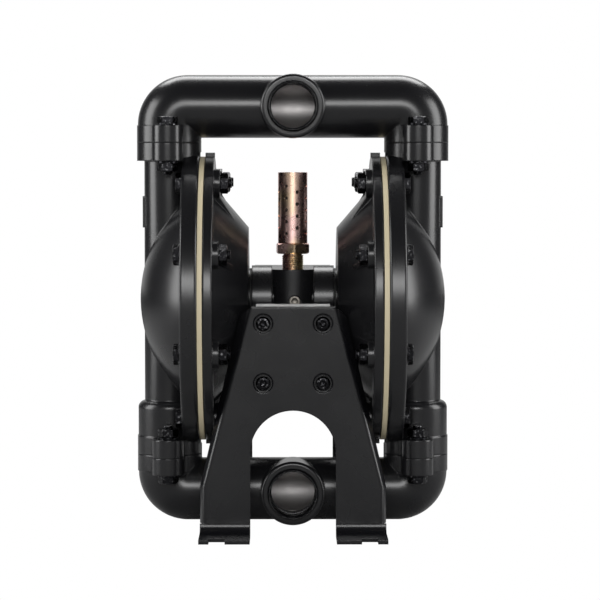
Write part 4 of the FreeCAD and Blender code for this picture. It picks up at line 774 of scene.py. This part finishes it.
def bracketWithFolds(name):
    # Bent sheet bracket whose slanting edges are folded back, wider towards the top
    size, place = bracketSheet, bracketPlaces[name]
    top = size["axis"] - place["drop"]
    arch = size["axis"] - place["arch"]
    inner = size["legInner"]
    shape = bmesh.new()

    def spot(x, depth, z):
        y = place["side"] * (size["back"] + size["sheet"] - depth)
        return shape.verts.new((x * mm, y * mm, z * mm))

    right, left = (addFoldedEdge(shape, spot, hand, top) for hand in (1, -1))
    opening = [(-inner, size["bend"])]
    for step in range(size["archSteps"] + 1):
        angle = math.pi * (1 - step / size["archSteps"])
        opening.append((inner * math.cos(angle), arch + inner * math.sin(angle)))
    opening.append((inner, size["bend"]))
    rims = []
    for layer, depth in ((0, 0.0), (1, size["sheet"])):
        rim = [row[layer][0] for row in right] + [row[layer][0] for row in reversed(left)]
        rims.append(rim + [spot(x, depth, z) for x, z in opening])
    folds = len(right) + len(left)
    for k in range(len(rims[0])):
        if k == len(right) - 1 or k >= folds - 1:  # the top edge, the leg ends and the arch
            following = (k + 1) % len(rims[0])
            shape.faces.new((rims[0][k], rims[0][following], rims[1][following], rims[1][k]))
    holes = [addScrewHole(shape, spot, hand * size["screwX"], size["axis"] - drop)
             for hand in (1, -1) for drop in place["screws"]]
    for layer in (0, 1):
        loops = [rims[layer]] + [hole[layer] for hole in holes]
        verts = [vert for loop in loops for vert in loop]
        for corners in tessellate_polygon([[vert.co for vert in loop] for loop in loops]):
            shape.faces.new([verts[k] for k in corners])
    for hand in (1, -1):
        addFoot(shape, spot, hand)
    piece = makePiece(name + "_folded", shape, slotOf[name], "pump_frame")
    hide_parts(name)


coverBolts()
coverNuts()
manifoldBolts()
manifoldNuts()
bracketScrews()
print("bolts, nuts and screws made")
mufflerFoot()
mufflerTube()
bodyPlug()
portThreads()
portLinings()
armTopFace()
for name in bracketPlaces:
    bracketWithFolds(name)
print("muffler, plug, port and bracket pieces made")

stageSizes = {"floor": 6.0, "gap": 0.0005, "floorColor": "#a8a8a8"}


def buildStage():
    # Plain floor that the camera sees as white and that lights the part as pale grey
    half = stageSizes["floor"]
    sheet = bmesh.new()
    corners = [(-half, -half), (half, -half), (half, half), (-half, half)]
    sheet.faces.new([sheet.verts.new((x, y, 0)) for x, y in corners])
    mesh = bpy.data.meshes.new("studio_floor")
    sheet.to_mesh(mesh)
    sheet.free()
    floor = bpy.data.objects.new("studio_floor", mesh)
    bpy.context.scene.collection.objects.link(floor)
    floor.location.z = -stageSizes["gap"]
    material, tree = newMaterial("white_studio_floor")
    ray = addNode(tree, "ShaderNodeLightPath")
    matte = addNode(tree, "ShaderNodeBsdfDiffuse", {"Color": hexColor(stageSizes["floorColor"])})
    glow = addNode(tree, "ShaderNodeEmission", {"Color": (1, 1, 1, 1), "Strength": 1.0})
    mix = addNode(tree, "ShaderNodeMixShader", None,
                  {0: ray.outputs["Is Camera Ray"], 1: matte.outputs[0], 2: glow.outputs[0]})
    closeMaterial(tree, mix)
    mesh.materials.append(material)


# Brightness of the room: "back" straight behind the part, "front" in a low band ahead of it, "fill"
# elsewhere; each span says between which two directions one brightness turns into the other
worldLevels = {"fill": 0.05, "back": 0.7, "front": 0.32, "backSpan": (0.72, 0.97),
               "frontSpan": (-0.35, -0.05), "lowSpan": (0.12, 0.42)}


def buildWorld():
    # Dark room with a bright wall behind and a soft one ahead, white where the camera looks at it
    world = bpy.data.worlds.new("studio")
    bpy.context.scene.world = world
    world.use_nodes = True
    tree = world.node_tree
    tree.nodes.clear()
    place = addNode(tree, "ShaderNodeTexCoord")
    axes = addNode(tree, "ShaderNodeSeparateXYZ", None, {"Vector": place.outputs["Generated"]})
    bands = {}
    for span, axis, start, end in (("backSpan", "Y", worldLevels["fill"], worldLevels["back"]),
                                   ("frontSpan", "Y", worldLevels["front"], 0.0),
                                   ("lowSpan", "Z", 1.0, 0.0)):
        low, high = worldLevels[span]
        bands[span] = addNode(tree, "ShaderNodeMapRange",
                              {"From Min": low, "From Max": high, "To Min": start, "To Max": end},
                              {"Value": axes.outputs[axis]}).outputs["Result"]
    level = addNode(tree, "ShaderNodeMath", {"operation": "MULTIPLY_ADD"},
                    {0: bands["frontSpan"], 1: bands["lowSpan"], 2: bands["backSpan"]})
    ray = addNode(tree, "ShaderNodeLightPath")
    seen = addNode(tree, "ShaderNodeMath", {"operation": "MAXIMUM"},
                   {0: ray.outputs["Is Camera Ray"], 1: ray.outputs["Is Transmission Ray"]})
    soft = addNode(tree, "ShaderNodeBackground", {"Color": (1, 1, 1, 1)}, {"Strength": level.outputs[0]})
    white = addNode(tree, "ShaderNodeBackground", {"Color": (1, 1, 1, 1), "Strength": 1.0})
    mix = addNode(tree, "ShaderNodeMixShader", None,
                  {0: seen.outputs[0], 1: soft.outputs[0], 2: white.outputs[0]})
    output = addNode(tree, "ShaderNodeOutputWorld")
    tree.links.new(mix.outputs[0], output.inputs["Surface"])


# The side boxes light the domes and columns, the top box the upper edges, the front box the rims
lamps = {
    "top_softbox": {"place": (0, 1.0, 1.65), "aim": (0, 0, 0.3), "size": (1.8, 0.7), "power": 26},
    "left_softbox": {"place": (-1.78, -0.26, 0.8), "aim": (0, 0, 0.3), "size": (0.95, 1.5), "power": 27},
    "right_softbox": {"place": (1.78, -0.26, 0.8), "aim": (0, 0, 0.3), "size": (0.95, 1.5), "power": 27},
    "front_softbox": {"place": (0, -3.1, 1.05), "aim": (0, 0, 0.22), "size": (1.7, 0.7), "power": 37},
}


def aimAt(thing, place, aim):  # puts a lamp or a camera at a place, looking at another
    thing.location = place
    thing.rotation_euler = (Vector(aim) - thing.location).to_track_quat("-Z", "Y").to_euler()


def buildLamps():
    for name, lamp in lamps.items():
        data = bpy.data.lights.new(name, "AREA")
        data.shape = "RECTANGLE"
        data.size, data.size_y = lamp["size"]
        data.energy = lamp["power"]
        light = bpy.data.objects.new(name, data)
        bpy.context.scene.collection.objects.link(light)
        aimAt(light, lamp["place"], lamp["aim"])


view = {"place": (-0.009, -2.667, 0.367), "aim": (0.007, 0.0, 0.2176), "lens": 165.8, "sensor": 36.0}


def buildCamera():
    data = bpy.data.cameras.new("front_camera")
    data.lens = view["lens"]
    data.sensor_width = view["sensor"]
    data.dof.use_dof = False
    camera = bpy.data.objects.new("front_camera", data)
    bpy.context.scene.collection.objects.link(camera)
    aimAt(camera, view["place"], view["aim"])
    bpy.context.scene.camera = camera


buildStage()
buildWorld()
buildLamps()
buildCamera()
bpy.context.scene.view_settings.view_transform = "Standard"
print("stage, lamps and camera set")
